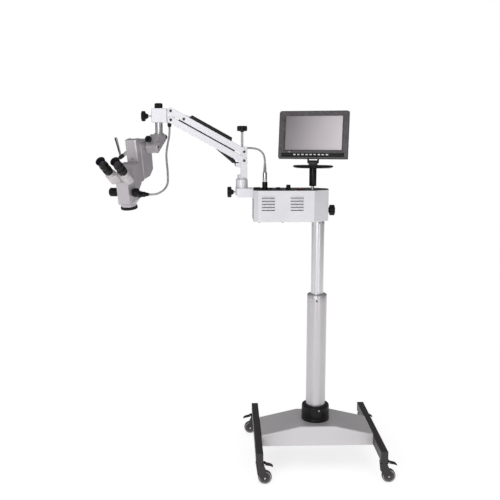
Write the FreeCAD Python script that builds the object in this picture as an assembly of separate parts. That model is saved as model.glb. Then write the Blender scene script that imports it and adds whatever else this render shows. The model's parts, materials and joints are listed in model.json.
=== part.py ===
import FreeCAD
import Part

import math
import os

# Surgical microscope on a wheeled column stand, with a console, a spring arm,
# a binocular head and a small monitor. Millimetres, +Z up, and the model is
# built about the column axis with the floor at z = 0. The head is at -X and the
# user stands at -Y. The last step moves the origin under the middle of the box.

# Floor stand
wheel_d = 60.0
wheel_w = 21.0
castor_trail = 24.0
castor_turns = {"front_left": 0.0, "front_right": 0.0, "rear_left": 180.0, "rear_right": 0.0}
castor_h = 103.0
castor_plate_d = 34.0
castor_head_h = 16.0
fork_wall = 3.5
fork_gap = 1.0
fork_half = 15.0
fork_foot = 9.0
axle_d = 8.0
tyre_t = 6.0
disc_hub_r = 11.0
disc_web_in = 3.0
pedal_half = 9.0
pedal_t = 4.0
pedal_reach = 36.0
pedal_pin_d = 4.0
pedal_pin_x = 23.0
pedal_pin_drop = 12.0
pedal_barrel_d = 8.0
lug_wall = 4.0
stem_d = 12.0
stem_len = 30.0
leg_spacing = 540.0
leg_w = 32.0
leg_h = 45.0
leg_wall = 2.5
leg_front = 272.0
leg_rear = 318.0
castor_inset = 24.0
cap_t = 4.0
cap_plug = 8.0
cover_half_top = 79.0
cover_end_h = 52.0
cover_h = 92.0
cover_front = 101.0
cover_rear = 118.0
cover_t = 2.0
beam_h = 40.0
beam_lift = 4.0
beam_boss_d = 118.0
beam_boss_h = 82.0
pocket_half = 60.0
pocket_depth = 10.0

# Column
sleeve_d = 88.9
sleeve_wall = 4.0
sleeve_top = 788.0
sleeve_seat = 14.0
shoulder_h = 16.0
bush_len = 70.0
tube_d = 57.0
tube_wall = 3.0
tube_engaged = 330.0
guide_ring_h = 30.0
collar_d = 128.0
collar_h = 73.0
running = 0.05
seat_gap = 0.3

# Console
box_left = 290.0
box_right = 42.0
box_depth = 150.0
box_bottom = 1122.0
box_h = 137.0
box_top = box_bottom + box_h
box_sheet = 2.0
lid_t = 3.0
tube_top = box_top - 4.0
corner_cut = 21.0
end_cut_x = 68.0
end_cut_y = 49.0
hub_d = 84.0
hub_h = 62.0
clamp_z = box_bottom + 45.0
louvre_len = 56.0
louvre_h = 4.5
louvre_pitch = 13.3
louvre_count = 5
louvre_z = box_bottom + 50.0
louvre_in = 64.0
louvre_spacing = 125.0
louvre_centres = (-box_left + louvre_in, -box_left + louvre_in + louvre_spacing)

# Console knobs and fittings
knob_d = 47.0
knob_h = 24.0
knob_shaft_d = 10.0
knob_stand_off = 7.0
socket_in = 52.0
socket_x = -box_left + socket_in
socket_d = 24.0
socket_flange_d = 30.0
socket_nut_h = 30.0
socket_h = 74.5
socket_bore = 16.0
ferrule_d = 19.0
relief_h = 38.0
guide_rise = 66.0
dimmer_in = 156.0
dimmer_x = -box_left + dimmer_in
dimmer_d = 20.0
dimmer_h = 15.0
dimmer_flutes = 12
dimmer_ring_t = 2.5
dimmer_hole_d = 9.0
rocker_in = 207.0
rocker_x = -box_left + rocker_in
rocker_y = -52.0
rocker_w = 28.0
rocker_h = 15.0
blank_x = -box_left + 18.0
blank_w = 30.0
blank_depth = 44.0
blank_t = 6.0
fuse_x = -box_left + 77.0
fuse_y = -14.0
fuse_h = 12.0
inlet_x = -box_left + 111.0
inlet_w = 18.0
inlet_depth = 20.0
inlet_h = 14.0
house_w = 60.0
house_depth = 72.0
throat_d = 22.0
supply_w = 78.0
supply_depth = 84.0
supply_h = 66.0

# Arm
bracket_w = 60.0
bracket_left = box_left + 78.0
bracket_bottom = box_top - 33.0
bracket_h = 40.0
bracket_top = bracket_bottom + bracket_h
bracket_floor = 8.0
post_clamp_z = bracket_bottom + 22.0
post_reach = 50.0
post_x = -box_left - post_reach
post_pivot_x = post_x + 10.5
post_rise = 158.0
post_pivot_z = bracket_top + post_rise
post_w = 29.0
post_top = post_pivot_z + 23.0
post_shaft_d = 28.0
post_ring_d = 52.0
post_ring_h = 41.0
post_step_d = 38.0
post_step_h = 17.0
arm_len = 361.0
arm_angle = 28.9
pivot_gap = 38.0
bar_h = 28.0
bar_wall = 3.0
bar_inner_w = 40.0
tongue_w = 39.0
tongue_r = 13.0
pin_d = 9.0
pin_head_d = 13.0
pin_head_t = 3.0
web_start = 34.0
web_end = 22.0
lower_web_start = 200.0
spring_s = 295.0
spring_n = -3.0
spring_foot_dx = -30.0
spring_foot_dz = -17.0
spring_d = 18.0
spring_neck = 16.0
spring_body_len = 174.0
spring_bore_start = 60.0
spring_rod_d = 8.0
spring_rod_len = 150.0
clevis_inner = 17.0
clevis_outer = 28.0
spring_eye_gap = 4.5
spring_eye_wall = 3.5
spring_pin_d = 7.0
cover_bar_s0 = 70.0
cover_bar_s1 = 278.0
cover_bar_h = 15.0
lift_rod_d = 10.0
lift_rod_len = 66.0
lift_rod_in = 15.0
lift_rod_x = 2.0
guide_side = 14.8
guide_in_bar = 6.3

# Front block and head
arm_reach = arm_len * math.cos(math.radians(arm_angle))
arm_rise = arm_len * math.sin(math.radians(arm_angle))
shaft_reach = 53.46
shaft_x = post_pivot_x - arm_reach - shaft_reach
shaft_d = 32.0
block_left = 29.0 - shaft_x
block_right = -38.0 - shaft_x
block_bottom = post_pivot_z + arm_rise - pivot_gap - 10.46
block_h = 60.0
block_top = block_bottom + block_h
block_w = 52.0
pinch_screw_d = 7.0
gland_h = 26.0
gland_drop = 20.0
shaft_show = 50.0
yoke_top = block_bottom - shaft_show
yoke_w = 44.0
yoke_back = 22.0
hub_y = -65.0
hub_drop = 54.0
hub_z = yoke_top - hub_drop
hub_r = 26.0
spigot_d = 20.0
head_yaw = -19.0
head_nod = 11.0
head_mid_x = -56.0
housing_w = 60.0
housing_front = -61.0
housing_back = 42.0
housing_top = 25.0
housing_low = -128.0
rail_half = 12.0
rail_t = 8.0
lever_boss_d = 16.0
lever_d = 8.0
lever_len = 84.0
slide_w = 50.0
slide_front = -101.0
slide_top = 50.0
slide_low = -132.0
scope_axis_y = -170.0
scope_w = 70.0
scope_front = -211.0
scope_back = -128.0
scope_low = -213.0
scope_top = -43.0
scope_brow_y = -150.0
inlet_z = -127.0
connector_y = -143.0
connector_z = -170.0
connector_len = 50.0
ring_d = 70.0
ring_h = 12.0
lens_d = 50.0
eye_spacing = 64.0
eye_start = 60.0
eye_barrel_len = 52.0
eye_barrel_d = 36.0
eyecup_d = 40.0
eyecup_len = 44.0
prism_inlet = 24.0
prism_depth = 48.0
mag_y = -190.0
mag_z = -150.0
mag_d = 36.0
mag_len = 30.0
mag_flutes = 16
mag_spindle_d = 12.0
guide_d = 9.0
guide_hang = ((-0.027, -0.061, 0.255), (-0.045, -0.155, 0.395), (-0.031, -0.27, 0.518),
              (-0.009, -0.392, 0.633))
guide_tail = ((8.55, 2.45, 7.1), (8.55, 0.8, 4.9), (7.45, -0.55, 2.65), (5.35, -1.1, 1.0))

# Monitor
pole_x = -26.0
pole_d = 32.0
pole_h = 91.0
pole_top = box_top + lid_t + pole_h
stub_d = 12.0
stub_h = 12.0
stand_w = 180.0
stand_depth = 110.0
stand_t = 12.0
neck_w = 38.0
neck_t = 14.0
spigot_len = 26.0
stand_spigot_d = 16.0
hinge_rise = 27.0
hinge_z = pole_top + hinge_rise
hinge_pin_d = 6.0
ear_w = 6.0
monitor_yaw = -17.0
monitor_tilt = -9.0
monitor_w = 309.0
monitor_h = 211.0
monitor_depth = 45.0
monitor_lift = 10.0
bezel_t = 14.0
screen_w = 252.0
screen_h = 149.0
screen_low = 40.0
key_count = 9
key_pitch = 18.0
key_w = 10.0
key_h = 5.0
key_mid = -7.0
key_gap = 0.4
key_rise = 18.0
lip_half = 138.0
lip_d = 20.0

ORIGIN = FreeCAD.Vector(0, 0, 0)
X = FreeCAD.Vector(1, 0, 0)
Y = FreeCAD.Vector(0, 1, 0)
Z = FreeCAD.Vector(0, 0, 1)


def vec(x, y, z):
    return FreeCAD.Vector(x, y, z)


def block(x0, x1, y0, y1, z0, z1):
    return Part.makeBox(x1 - x0, y1 - y0, z1 - z0, vec(x0, y0, z0))


def rod(start, end, d):
    return Part.makeCylinder(d / 2, (end - start).Length, start, end - start)


def tube(start, end, outer_d, inner_d):
    return rod(start, end, outer_d).cut(rod(start, end, inner_d))


def prism(points, along):
    """A closed outline of points, pushed along a vector."""
    return Part.Face(Part.makePolygon(points + [points[0]])).extrude(along)


def turned(start, axis, profile):
    """A solid of revolution from (distance, radius) pairs along the axis."""
    outline = [vec(radius, 0, distance) for distance, radius in profile]
    outline = [vec(0, 0, profile[0][0])] + outline + [vec(0, 0, profile[-1][0])]
    face = Part.Face(Part.makePolygon(outline + [outline[0]]))
    solid = face.revolve(ORIGIN, Z, 360)
    solid.Placement = FreeCAD.Placement(start, FreeCAD.Rotation(Z, axis))
    return solid


def joined(shapes):
    first = shapes[0]
    for shape in shapes[1:]:
        first = first.fuse(shape)
    return first.removeSplitter()


def eased(shape, radius, wanted):
    """Rounds the edges whose middle point passes the wanted test."""
    edges = [edge for edge in shape.Edges if wanted(edge)]
    return shape.makeFillet(radius, edges)


def along(edge, axis):
    """True for a straight edge that runs along the axis."""
    if edge.Curve.TypeId != "Part::GeomLine":
        return False
    return abs(abs(edge.Curve.Direction.dot(axis)) - 1) < 1e-6


def lobed_knob(seat, axis, head_d, head_h, shaft_d, shaft_in, stand_off, lobes=6):
    """A star knob: a shaft that starts inside by shaft_in, a hub and a scalloped head."""
    head = turned(ORIGIN, Z, [
        (stand_off, head_d * 0.42), (stand_off + 2, head_d / 2),
        (stand_off + head_h - 4, head_d / 2), (stand_off + head_h, head_d * 0.38)])
    for i in range(lobes):
        angle = 2 * math.pi * i / lobes
        spot = vec(head_d * 0.58 * math.cos(angle), head_d * 0.58 * math.sin(angle), stand_off - 1)
        head = head.cut(rod(spot, spot + Z * (head_h + 2), head_d * 0.3))
    hub_from = max(seat_gap, stand_off - 9)
    hub = turned(ORIGIN, Z, [(hub_from, head_d * 0.2), (stand_off + 1, head_d * 0.26)])
    shaft = rod(Z * (seat_gap - shaft_in), Z * (stand_off + 2), shaft_d)
    knob = joined([head, hub, shaft])
    knob.Placement = FreeCAD.Placement(seat, FreeCAD.Rotation(Z, axis))
    return knob


def castor_places():
    x = leg_spacing / 2
    front = -(leg_front - castor_inset)
    rear = leg_rear - castor_inset
    return {"front_left": (-x, front), "front_right": (x, front),
            "rear_left": (-x, rear), "rear_right": (x, rear)}


def swivelled(solids, name):
    """Turns a castor's solids about its swivel to the way it stands."""
    x, y = castor_places()[name]
    for solid in solids:
        solid.rotate(vec(x, y, 0), Z, castor_turns[name])
    return solids


def castor_fork(x, y):
    """Swivel head, stem, cheeks and axle, with two lugs for the brake pedal's pin."""
    axle = vec(x + castor_trail, y, wheel_d / 2)
    side = wheel_w / 2 + fork_gap + fork_wall
    head = turned(vec(x, y, castor_h - castor_head_h), Z, [
        (0, castor_plate_d * 0.42), (castor_head_h * 0.38, castor_plate_d / 2),
        (castor_head_h - 3, castor_plate_d / 2), (castor_head_h, castor_plate_d * 0.32)])
    cheek_top = castor_h - castor_head_h + 2
    cheek_line = [
        vec(x - fork_half, y - side, cheek_top), vec(x + fork_half, y - side, cheek_top),
        vec(axle.x + fork_foot + 4, y - side, axle.z + 6),
        vec(axle.x + fork_foot, y - side, axle.z - fork_foot),
        vec(axle.x - fork_foot, y - side, axle.z - fork_foot),
        vec(x - fork_foot, y - side, axle.z + fork_half)]
    cheeks = prism(cheek_line, Y * (2 * side))
    inner = side - fork_wall
    cheeks = cheeks.cut(block(x - wheel_d, x + wheel_d, y - inner, y + inner, 0, cheek_top - fork_wall - 2.5))
    cheeks = cheeks.cut(rod(axle - Y * inner, axle + Y * inner, wheel_d + 2 * fork_wall - 2))
    stem = rod(vec(x, y, cheek_top), vec(x, y, castor_h + stem_len), stem_d)
    axle_pin = rod(axle - Y * (side + 2), axle + Y * (side + 2), axle_d)
    pin = pedal_pin(x, y)
    lug_half = pedal_half + lug_wall
    lugs = block(x + axle_d, pin.x + lug_wall, y - lug_half, y + lug_half,
                 pin.z - lug_wall, pin.z + lug_wall + 1)
    room = pedal_half + seat_gap
    lugs = lugs.cut(block(pin.x - pedal_t - 2, pin.x + axle_d + 1, y - room, y + room,
                          pin.z - 2 * lug_wall, pin.z + 2 * lug_wall + 1))
    lugs = lugs.cut(rod(pin - Y * (lug_half + 1), pin + Y * (lug_half + 1), pedal_pin_d + 2 * running))
    return [joined([head, cheeks, stem, axle_pin, lugs])]


def castor_wheel(x, y):
    """Moulded wheel disc and its separate soft tyre, both on the axle."""
    centre = vec(x + castor_trail, y, wheel_d / 2)
    half = wheel_w / 2
    rim_r = wheel_d / 2 - tyre_t
    web = disc_web_in
    disc = turned(centre - Y * half, Y, [
        (0, disc_hub_r - 2), (0.01, disc_hub_r - 1), (web, disc_hub_r), (web + 0.01, rim_r - 4),
        (0.8, rim_r - 3), (0.8, rim_r), (wheel_w - 0.8, rim_r), (wheel_w - 0.8, rim_r - 3),
        (wheel_w - web - 0.01, rim_r - 4), (wheel_w - web, disc_hub_r),
        (wheel_w - 0.01, disc_hub_r - 1), (wheel_w, disc_hub_r - 2)])
    disc = disc.cut(rod(centre - Y * wheel_w, centre + Y * wheel_w, axle_d + 2 * running))
    tyre = turned(centre - Y * half, Y, [
        (0.8, rim_r + 1), (2.5, wheel_d / 2 - 1), (tyre_t, wheel_d / 2),
        (wheel_w - tyre_t, wheel_d / 2), (wheel_w - 2.5, wheel_d / 2 - 1), (wheel_w - 0.8, rim_r + 1)])
    tyre = tyre.cut(rod(centre - Y * wheel_w, centre + Y * wheel_w, 2 * rim_r))
    return [disc, tyre]


def pedal_pin(x, y):
    return vec(x + pedal_pin_x, y, castor_h - pedal_pin_drop)


def castor_pedal(x, y):
    """Brake pedal that tips on its pin between the fork's lugs, over the tyre."""
    pin = pedal_pin(x, y)
    low = y - pedal_half
    bend = pedal_reach * 0.75
    line = [
        vec(pin.x, low, pin.z + pedal_t), vec(pin.x + bend, low, pin.z - 3),
        vec(pin.x + pedal_reach, low, pin.z - 10), vec(pin.x + pedal_reach - 1, low, pin.z - 10 - pedal_t),
        vec(pin.x + bend - 1, low, pin.z - 9), vec(pin.x, low, pin.z - pedal_t)]
    plate = prism(line, Y * (2 * pedal_half))
    barrel = rod(pin - Y * pedal_half, pin + Y * pedal_half, pedal_barrel_d)
    spindle = rod(pin - Y * (pedal_half + lug_wall), pin + Y * (pedal_half + lug_wall), pedal_pin_d)
    return [joined([plate, barrel, spindle])]


def base_legs():
    """Two rectangular tubes with a plug in each end and holes for the castor stems."""
    solids = []
    for side in (-1, 1):
        x = side * leg_spacing / 2
        outer = block(x - leg_w / 2, x + leg_w / 2, -leg_front + cap_t, leg_rear - cap_t,
                      castor_h, castor_h + leg_h)
        outer = eased(outer, 3.0, lambda edge: along(edge, Y))
        inner = block(x - leg_w / 2 + leg_wall, x + leg_w / 2 - leg_wall, -leg_front, leg_rear,
                      castor_h + leg_wall, castor_h + leg_h - leg_wall)
        leg = outer.cut(inner)
        for place_x, place_y in castor_places().values():
            if place_x == x:
                foot = vec(x, place_y, castor_h - 1)
                leg = leg.cut(rod(foot, foot + Z * (leg_wall + 2), stem_d + 2 * seat_gap))
        solids.append(leg)
        for end_y, inward in ((-leg_front, 1), (leg_rear, -1)):
            solids.append(leg_cap(x, end_y, inward))
    return solids


def leg_cap(x, end_y, inward):
    near = min(end_y, end_y + inward * cap_t)
    plate = block(x - leg_w / 2, x + leg_w / 2, near, near + cap_t, castor_h, castor_h + leg_h)
    outside = end_y
    plate = eased(plate, 2.0, lambda edge: abs(edge.CenterOfMass.y - outside) < 0.01)
    gap = leg_wall + seat_gap
    start = min(end_y + inward * cap_t, end_y + inward * (cap_t + cap_plug))
    plug = block(x - leg_w / 2 + gap, x + leg_w / 2 - gap, start, start + cap_plug,
                 castor_h + gap, castor_h + leg_h - gap)
    return joined([plate, plug])


def base_beam():
    """Heavy cast cross beam that joins the legs and holds the sleeve in a boss."""
    half = leg_spacing / 2 - leg_w / 2
    gap = cover_t + seat_gap
    low = castor_h + beam_lift
    beam = block(-half, half, -cover_front + gap, cover_rear - gap, low, low + beam_h)
    for side in (-1, 1):
        pocket_x = side * half * 0.62
        beam = beam.cut(block(pocket_x - pocket_half, pocket_x + pocket_half,
                              -cover_front * 0.7, cover_rear * 0.75, low - 1, low + pocket_depth))
    boss = turned(vec(0, 0, low), Z, [
        (0, beam_boss_d / 2 + 12), (beam_h, beam_boss_d / 2 + 12), (beam_boss_h, beam_boss_d / 2)])
    beam = joined([beam, boss])
    socket = rod(vec(0, 0, castor_h + sleeve_seat), vec(0, 0, low + beam_boss_h + 1),
                 sleeve_d + 2 * running)
    return [beam.cut(socket)]


def cover_prism(inset, front, rear):
    """The cover's roof outline, pushed from front to rear."""
    end = leg_spacing / 2 - leg_w / 2 - seat_gap - inset
    slope = math.atan2(cover_h - cover_end_h, end - cover_half_top)
    top = castor_h + cover_h - inset
    shoulder = castor_h + cover_end_h - inset * (1 - math.sin(slope)) / math.cos(slope)
    flat = cover_half_top - inset * math.tan(slope / 2)
    line = [vec(-end, front, castor_h - 5 * (inset > 0)), vec(-end, front, shoulder),
            vec(-flat, front, top), vec(flat, front, top),
            vec(end, front, shoulder), vec(end, front, castor_h - 5 * (inset > 0))]
    return prism(line, Y * (rear - front))


def base_cover():
    """Folded sheet cover over the cross beam, open below, with the sleeve's hole."""
    outer = cover_prism(0.0, -cover_front, cover_rear)
    outer = eased(outer, 5.0, lambda edge: edge.CenterOfMass.z > castor_h + cover_end_h - 1
                  and abs(edge.CenterOfMass.y - 8) > 60)
    inner = cover_prism(cover_t, -cover_front + cover_t, cover_rear - cover_t)
    half = leg_spacing / 2
    notch = block(-half, half, -cover_front + cover_t, cover_rear - cover_t,
                  castor_h - 1, castor_h + beam_h + beam_lift + seat_gap)
    cover = outer.cut(inner).cut(notch)
    hole = rod(vec(0, 0, castor_h), vec(0, 0, castor_h + cover_h + 1), sleeve_d + 2 * seat_gap)
    return [cover.cut(hole)]


def column_collar():
    """Thick ring that covers the joint of sleeve and base, with a set screw hole in front."""
    low = castor_h + cover_h
    ring = turned(vec(0, 0, low), Z, [
        (0, collar_d / 2 - 1), (2, collar_d / 2), (collar_h - 8, collar_d / 2 - 1),
        (collar_h - 2, collar_d / 2 - 4), (collar_h, collar_d / 2 - 8)])
    ring = ring.cut(rod(vec(0, 0, low - 1), vec(0, 0, low + collar_h + 1), sleeve_d + 2 * seat_gap))
    mid = low + collar_h * 0.55
    return [ring.cut(rod(vec(0, -collar_d, mid), vec(0, -collar_d / 2 + 4, mid), 9.0))]


def column_sleeve():
    """Outer column tube, and the shoulder bush that guides the inner tube."""
    low = castor_h + sleeve_seat
    body = tube(vec(0, 0, low), vec(0, 0, sleeve_top - shoulder_h), sleeve_d, sleeve_d - 2 * sleeve_wall)
    joint = sleeve_top - shoulder_h
    shoulder = turned(vec(0, 0, joint), Z, [
        (-bush_len, sleeve_d / 2 - sleeve_wall - seat_gap), (0, sleeve_d / 2 - sleeve_wall - seat_gap),
        (0, sleeve_d / 2), (shoulder_h - 6, sleeve_d / 2), (shoulder_h - 2, sleeve_d / 2 - 2),
        (shoulder_h, sleeve_d / 2 - 6)])
    bore = rod(vec(0, 0, joint - bush_len - 1), vec(0, 0, sleeve_top + 1), tube_d + 2 * running)
    return [body, shoulder.cut(bore)]


def column_tube():
    """Inner column tube with a guide ring near its foot."""
    foot = sleeve_top - tube_engaged
    body = tube(vec(0, 0, foot), vec(0, 0, tube_top), tube_d, tube_d - 2 * tube_wall)
    ring = tube(vec(0, 0, foot), vec(0, 0, foot + guide_ring_h),
                sleeve_d - 2 * sleeve_wall - 2 * running, tube_d - 1)
    return [joined([body, ring])]


def console_outline(inset, z):
    """The console's plan with cut corners, moved in by a wall."""
    left = -box_left + inset
    right = box_right - inset
    half = box_depth / 2 - inset
    small = corner_cut - inset * (2 - math.sqrt(2))
    slope = math.atan2(end_cut_y, end_cut_x)
    cut_x = end_cut_x - inset * math.tan(slope / 2)
    nose = box_depth / 2 - end_cut_y - inset * math.tan((math.pi / 2 - slope) / 2)
    return [vec(left, -half + small, z), vec(left + small, -half, z),
            vec(right + inset - cut_x, -half, z), vec(right, -nose, z),
            vec(right, nose, z), vec(right + inset - cut_x, half, z),
            vec(left + small, half, z), vec(left, half - small, z)]


def console_shell():
    """Sheet housing, open on top, with cooling slots in the front and back."""
    outer = prism(console_outline(0.0, box_bottom), Z * (box_top - box_bottom))
    outer = eased(outer, 4.0, lambda edge: along(edge, Z))
    inner = prism(console_outline(box_sheet, box_bottom + box_sheet), Z * (box_top - box_bottom))
    shell = outer.cut(inner)
    shell = shell.cut(rod(vec(0, 0, box_bottom - 1), vec(0, 0, box_bottom + 5), tube_d + 2))
    slots = []
    for centre in louvre_centres:
        for row in range(louvre_count):
            z = louvre_z + row * louvre_pitch
            slots.append(block(centre - louvre_len / 2, centre + louvre_len / 2,
                               -box_depth, -box_depth / 2 + 8, z, z + louvre_h))
    shell = shell.cut(joined(slots))
    knob_hole = rod(vec(box_right - 10, 0, clamp_z), vec(box_right + 10, 0, clamp_z), knob_shaft_d + 2)
    return [shell.cut(knob_hole)]


def console_lid():
    """Flat top plate with the openings for the post, the socket and the switch."""
    lid = prism(console_outline(0.0, box_top), Z * lid_t)
    rocker_room = block(rocker_x - rocker_w / 2 - 1, rocker_x + rocker_w / 2 + 1,
                        rocker_y - rocker_h / 2 - 1, rocker_y + rocker_h / 2 + 1,
                        box_top - 1, box_top + lid_t + 1)
    lid = lid.cut(rocker_room)
    top = box_top + lid_t + 1
    lid = lid.cut(rod(vec(dimmer_x, 0, box_top - 1), vec(dimmer_x, 0, top), dimmer_hole_d))
    return [lid.cut(rod(vec(socket_x, 0, box_top - 1), vec(socket_x, 0, top), socket_bore))]


def console_works():
    """Clamp hub on the column, lamp house under the socket and the supply beside it."""
    floor = box_bottom + box_sheet
    hub = rod(vec(0, 0, floor), vec(0, 0, floor + hub_h), hub_d)
    hub = hub.cut(rod(vec(0, 0, floor - 1), vec(0, 0, floor + hub_h + 1), tube_d + 2 * running))
    hub = hub.common(prism(console_outline(box_sheet + seat_gap, floor), Z * hub_h))
    hub = hub.cut(rod(vec(tube_d / 3, 0, clamp_z), vec(hub_d, 0, clamp_z), knob_shaft_d + 2 * running))
    house_x = socket_x + 2
    house_top = box_top - throat_d
    house = block(house_x - house_w / 2, house_x + house_w / 2, -house_depth / 2, house_depth / 2,
                  floor, house_top)
    throat = rod(vec(socket_x, 0, house_top - 1), vec(socket_x, 0, box_top - seat_gap), throat_d)
    supply_x = house_x + house_w / 2 + 28
    supply = block(supply_x, supply_x + supply_w, -supply_depth / 2, supply_depth / 2,
                   floor, floor + supply_h)
    return [hub, joined([house, throat]), supply]


def console_fittings():
    """Light guide socket, blank cover plate, fuse cap, foot switch inlet and bezel."""
    top = box_top + lid_t
    socket = turned(vec(socket_x, 0, top), Z, [
        (0, socket_flange_d / 2), (6, socket_flange_d / 2), (6, socket_d / 2 - 1), (8, socket_d / 2),
        (socket_nut_h, socket_d / 2), (socket_nut_h + 2, ferrule_d / 2), (socket_h - 0.5, ferrule_d / 2),
        (socket_h, guide_d * 0.95), (socket_h + relief_h, guide_d * 0.62)])
    plate = block(blank_x - blank_w / 2, blank_x + blank_w / 2, -blank_depth / 2, blank_depth / 2,
                  top, top + blank_t)
    plate = eased(plate, 1.5, lambda edge: along(edge, Z))
    cap = turned(vec(fuse_x, fuse_y, top), Z, [(0, 6), (5, 6), (5, 4), (fuse_h, 4)])
    inlet = block(inlet_x - inlet_w / 2, inlet_x + inlet_w / 2, -inlet_depth / 2, inlet_depth / 2,
                  top, top + inlet_h)
    inlet = eased(inlet, 2.0, lambda edge: along(edge, Z))
    base_ring = tube(vec(dimmer_x, 0, top), vec(dimmer_x, 0, top + dimmer_ring_t),
                     dimmer_d + 6, dimmer_hole_d - 1)
    bezel = block(rocker_x - rocker_w / 2 - 3, rocker_x + rocker_w / 2 + 3,
                  rocker_y - rocker_h / 2 - 3, rocker_y + rocker_h / 2 + 3, top, top + dimmer_ring_t)
    bezel = eased(bezel, 2.0, lambda edge: along(edge, Z))
    bezel = bezel.cut(block(rocker_x - rocker_w / 2 - 0.5, rocker_x + rocker_w / 2 + 0.5,
                            rocker_y - rocker_h / 2 - 0.5, rocker_y + rocker_h / 2 + 0.5, top - 1, top + 9))
    return [socket, plate, cap, inlet, base_ring, bezel]


def power_rocker():
    """Two-way rocker, tipped about its middle."""
    top = box_top + lid_t
    half = rocker_w / 2
    line = [vec(rocker_x - half + 1, 0, top - 4), vec(rocker_x - half, 0, top + 5.5),
            vec(rocker_x, 0, top + 3.2), vec(rocker_x + half, 0, top + 4.2),
            vec(rocker_x + half - 1, 0, top - 4)]
    rocker = prism(line, Y * rocker_h)
    rocker.translate(vec(0, rocker_y - rocker_h / 2, 0))
    return [rocker]


def dimmer_knob():
    """Fluted dial knob on its spindle."""
    top = box_top + lid_t + dimmer_ring_t
    knob = turned(vec(dimmer_x, 0, top + seat_gap), Z, [
        (0, dimmer_d / 2), (dimmer_h - 1.5, dimmer_d / 2 - 0.7), (dimmer_h, dimmer_d / 2 - 2)])
    flute_r = dimmer_d * 0.53
    for i in range(dimmer_flutes):
        angle = 2 * math.pi * i / dimmer_flutes
        spot = vec(dimmer_x + flute_r * math.cos(angle), flute_r * math.sin(angle), top - 1)
        knob = knob.cut(rod(spot, spot + Z * (dimmer_h - 2), dimmer_d * 0.13))
    spindle = rod(vec(dimmer_x, 0, box_top - 12), vec(dimmer_x, 0, top + 3), dimmer_hole_d - 3)
    return [joined([knob, spindle])]


def arm_bracket():
    """Cast bracket at the console's end, bored for the arm's post."""
    half = bracket_w / 2
    left = -bracket_left
    line = [vec(-box_left, -half, bracket_bottom), vec(-box_left, -half, bracket_top),
            vec(left, -half, bracket_top), vec(left, -half, bracket_bottom + 12),
            vec(left + 10, -half, bracket_bottom)]
    body = prism(line, Y * bracket_w)
    body = eased(body, 14.0, lambda edge: abs(edge.CenterOfMass.x - left) < 6 and edge.Length < 45
                 and abs(edge.CenterOfMass.y) > half - 1 and along(edge, Z))
    bore = rod(vec(post_x, 0, bracket_bottom + bracket_floor), vec(post_x, 0, bracket_top + 1),
               post_shaft_d + 2 * running)
    screw = rod(vec(left - 5, 0, post_clamp_z), vec(post_x, 0, post_clamp_z), knob_shaft_d + 2 * running)
    return [body.cut(bore).cut(screw)]


def arm_post():
    """Turning post: shaft in the bracket, two rings, the upright plate and the spring's clevis."""
    shaft_foot = bracket_bottom + bracket_floor + seat_gap
    shaft = rod(vec(post_x, 0, shaft_foot), vec(post_x, 0, bracket_top + 1), post_shaft_d)
    ring = turned(vec(post_x, 0, bracket_top), Z, [
        (0, post_ring_d / 2), (post_ring_h - 3, post_ring_d / 2), (post_ring_h, post_ring_d / 2 - 3)])
    step_z = bracket_top + post_ring_h
    step = turned(vec(post_x, 0, step_z), Z, [(-1, post_step_d / 2), (post_step_h, post_step_d / 2)])
    mid = post_pivot_x - 1
    plate = block(mid - post_w / 2, mid + post_w / 2, -tongue_w / 2, tongue_w / 2, step_z + 4, post_top)
    plate = eased(plate, 5.0, lambda edge: along(edge, Y) and edge.CenterOfMass.z > post_top - 1)
    foot = spring_foot()
    slot = clevis_inner / 2
    cheek = clevis_outer / 2
    arms = block(foot.x - spring_pin_d - 1, mid, -cheek, cheek, foot.z - 12, foot.z + spring_pin_d)
    arms = eased(arms, 6.0, lambda edge: along(edge, Y) and edge.CenterOfMass.x < foot.x)
    arms = arms.cut(block(foot.x - 20, mid - post_w / 2 - 1, -slot, slot, foot.z - 30, foot.z + 20))
    post = joined([shaft, ring, step, plate, arms])
    sweep = spring_pin_d / 2 + 2 * spring_eye_gap + spring_eye_wall + 1
    post = post.cut(rod(vec(foot.x, -slot, foot.z), vec(foot.x, slot, foot.z), 2 * sweep))
    for z in (post_pivot_z, post_pivot_z - pivot_gap):
        post = post.cut(rod(vec(post_pivot_x, -30, z), vec(post_pivot_x, 30, z), pin_d + 2 * running))
    rod_x = post_x + lift_rod_x
    post = post.cut(rod(vec(rod_x, 0, post_top - lift_rod_in - 1), vec(rod_x, 0, post_top + 1),
                        lift_rod_d + 2 * running))
    foot_pin = rod(vec(foot.x, -cheek, foot.z), vec(foot.x, cheek, foot.z), spring_pin_d)
    return [joined([post, foot_pin])]


def spring_foot():
    return vec(post_pivot_x + spring_foot_dx, 0, post_pivot_z - pivot_gap + spring_foot_dz)


def on_arm(shape, lower=False):
    """Moves a shape from the bar's own axes, with the rear pivot at zero, to its place."""
    shape.rotate(ORIGIN, Y, arm_angle)
    shape.translate(vec(post_pivot_x, 0, post_pivot_z - (pivot_gap if lower else 0)))
    return shape


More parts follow.
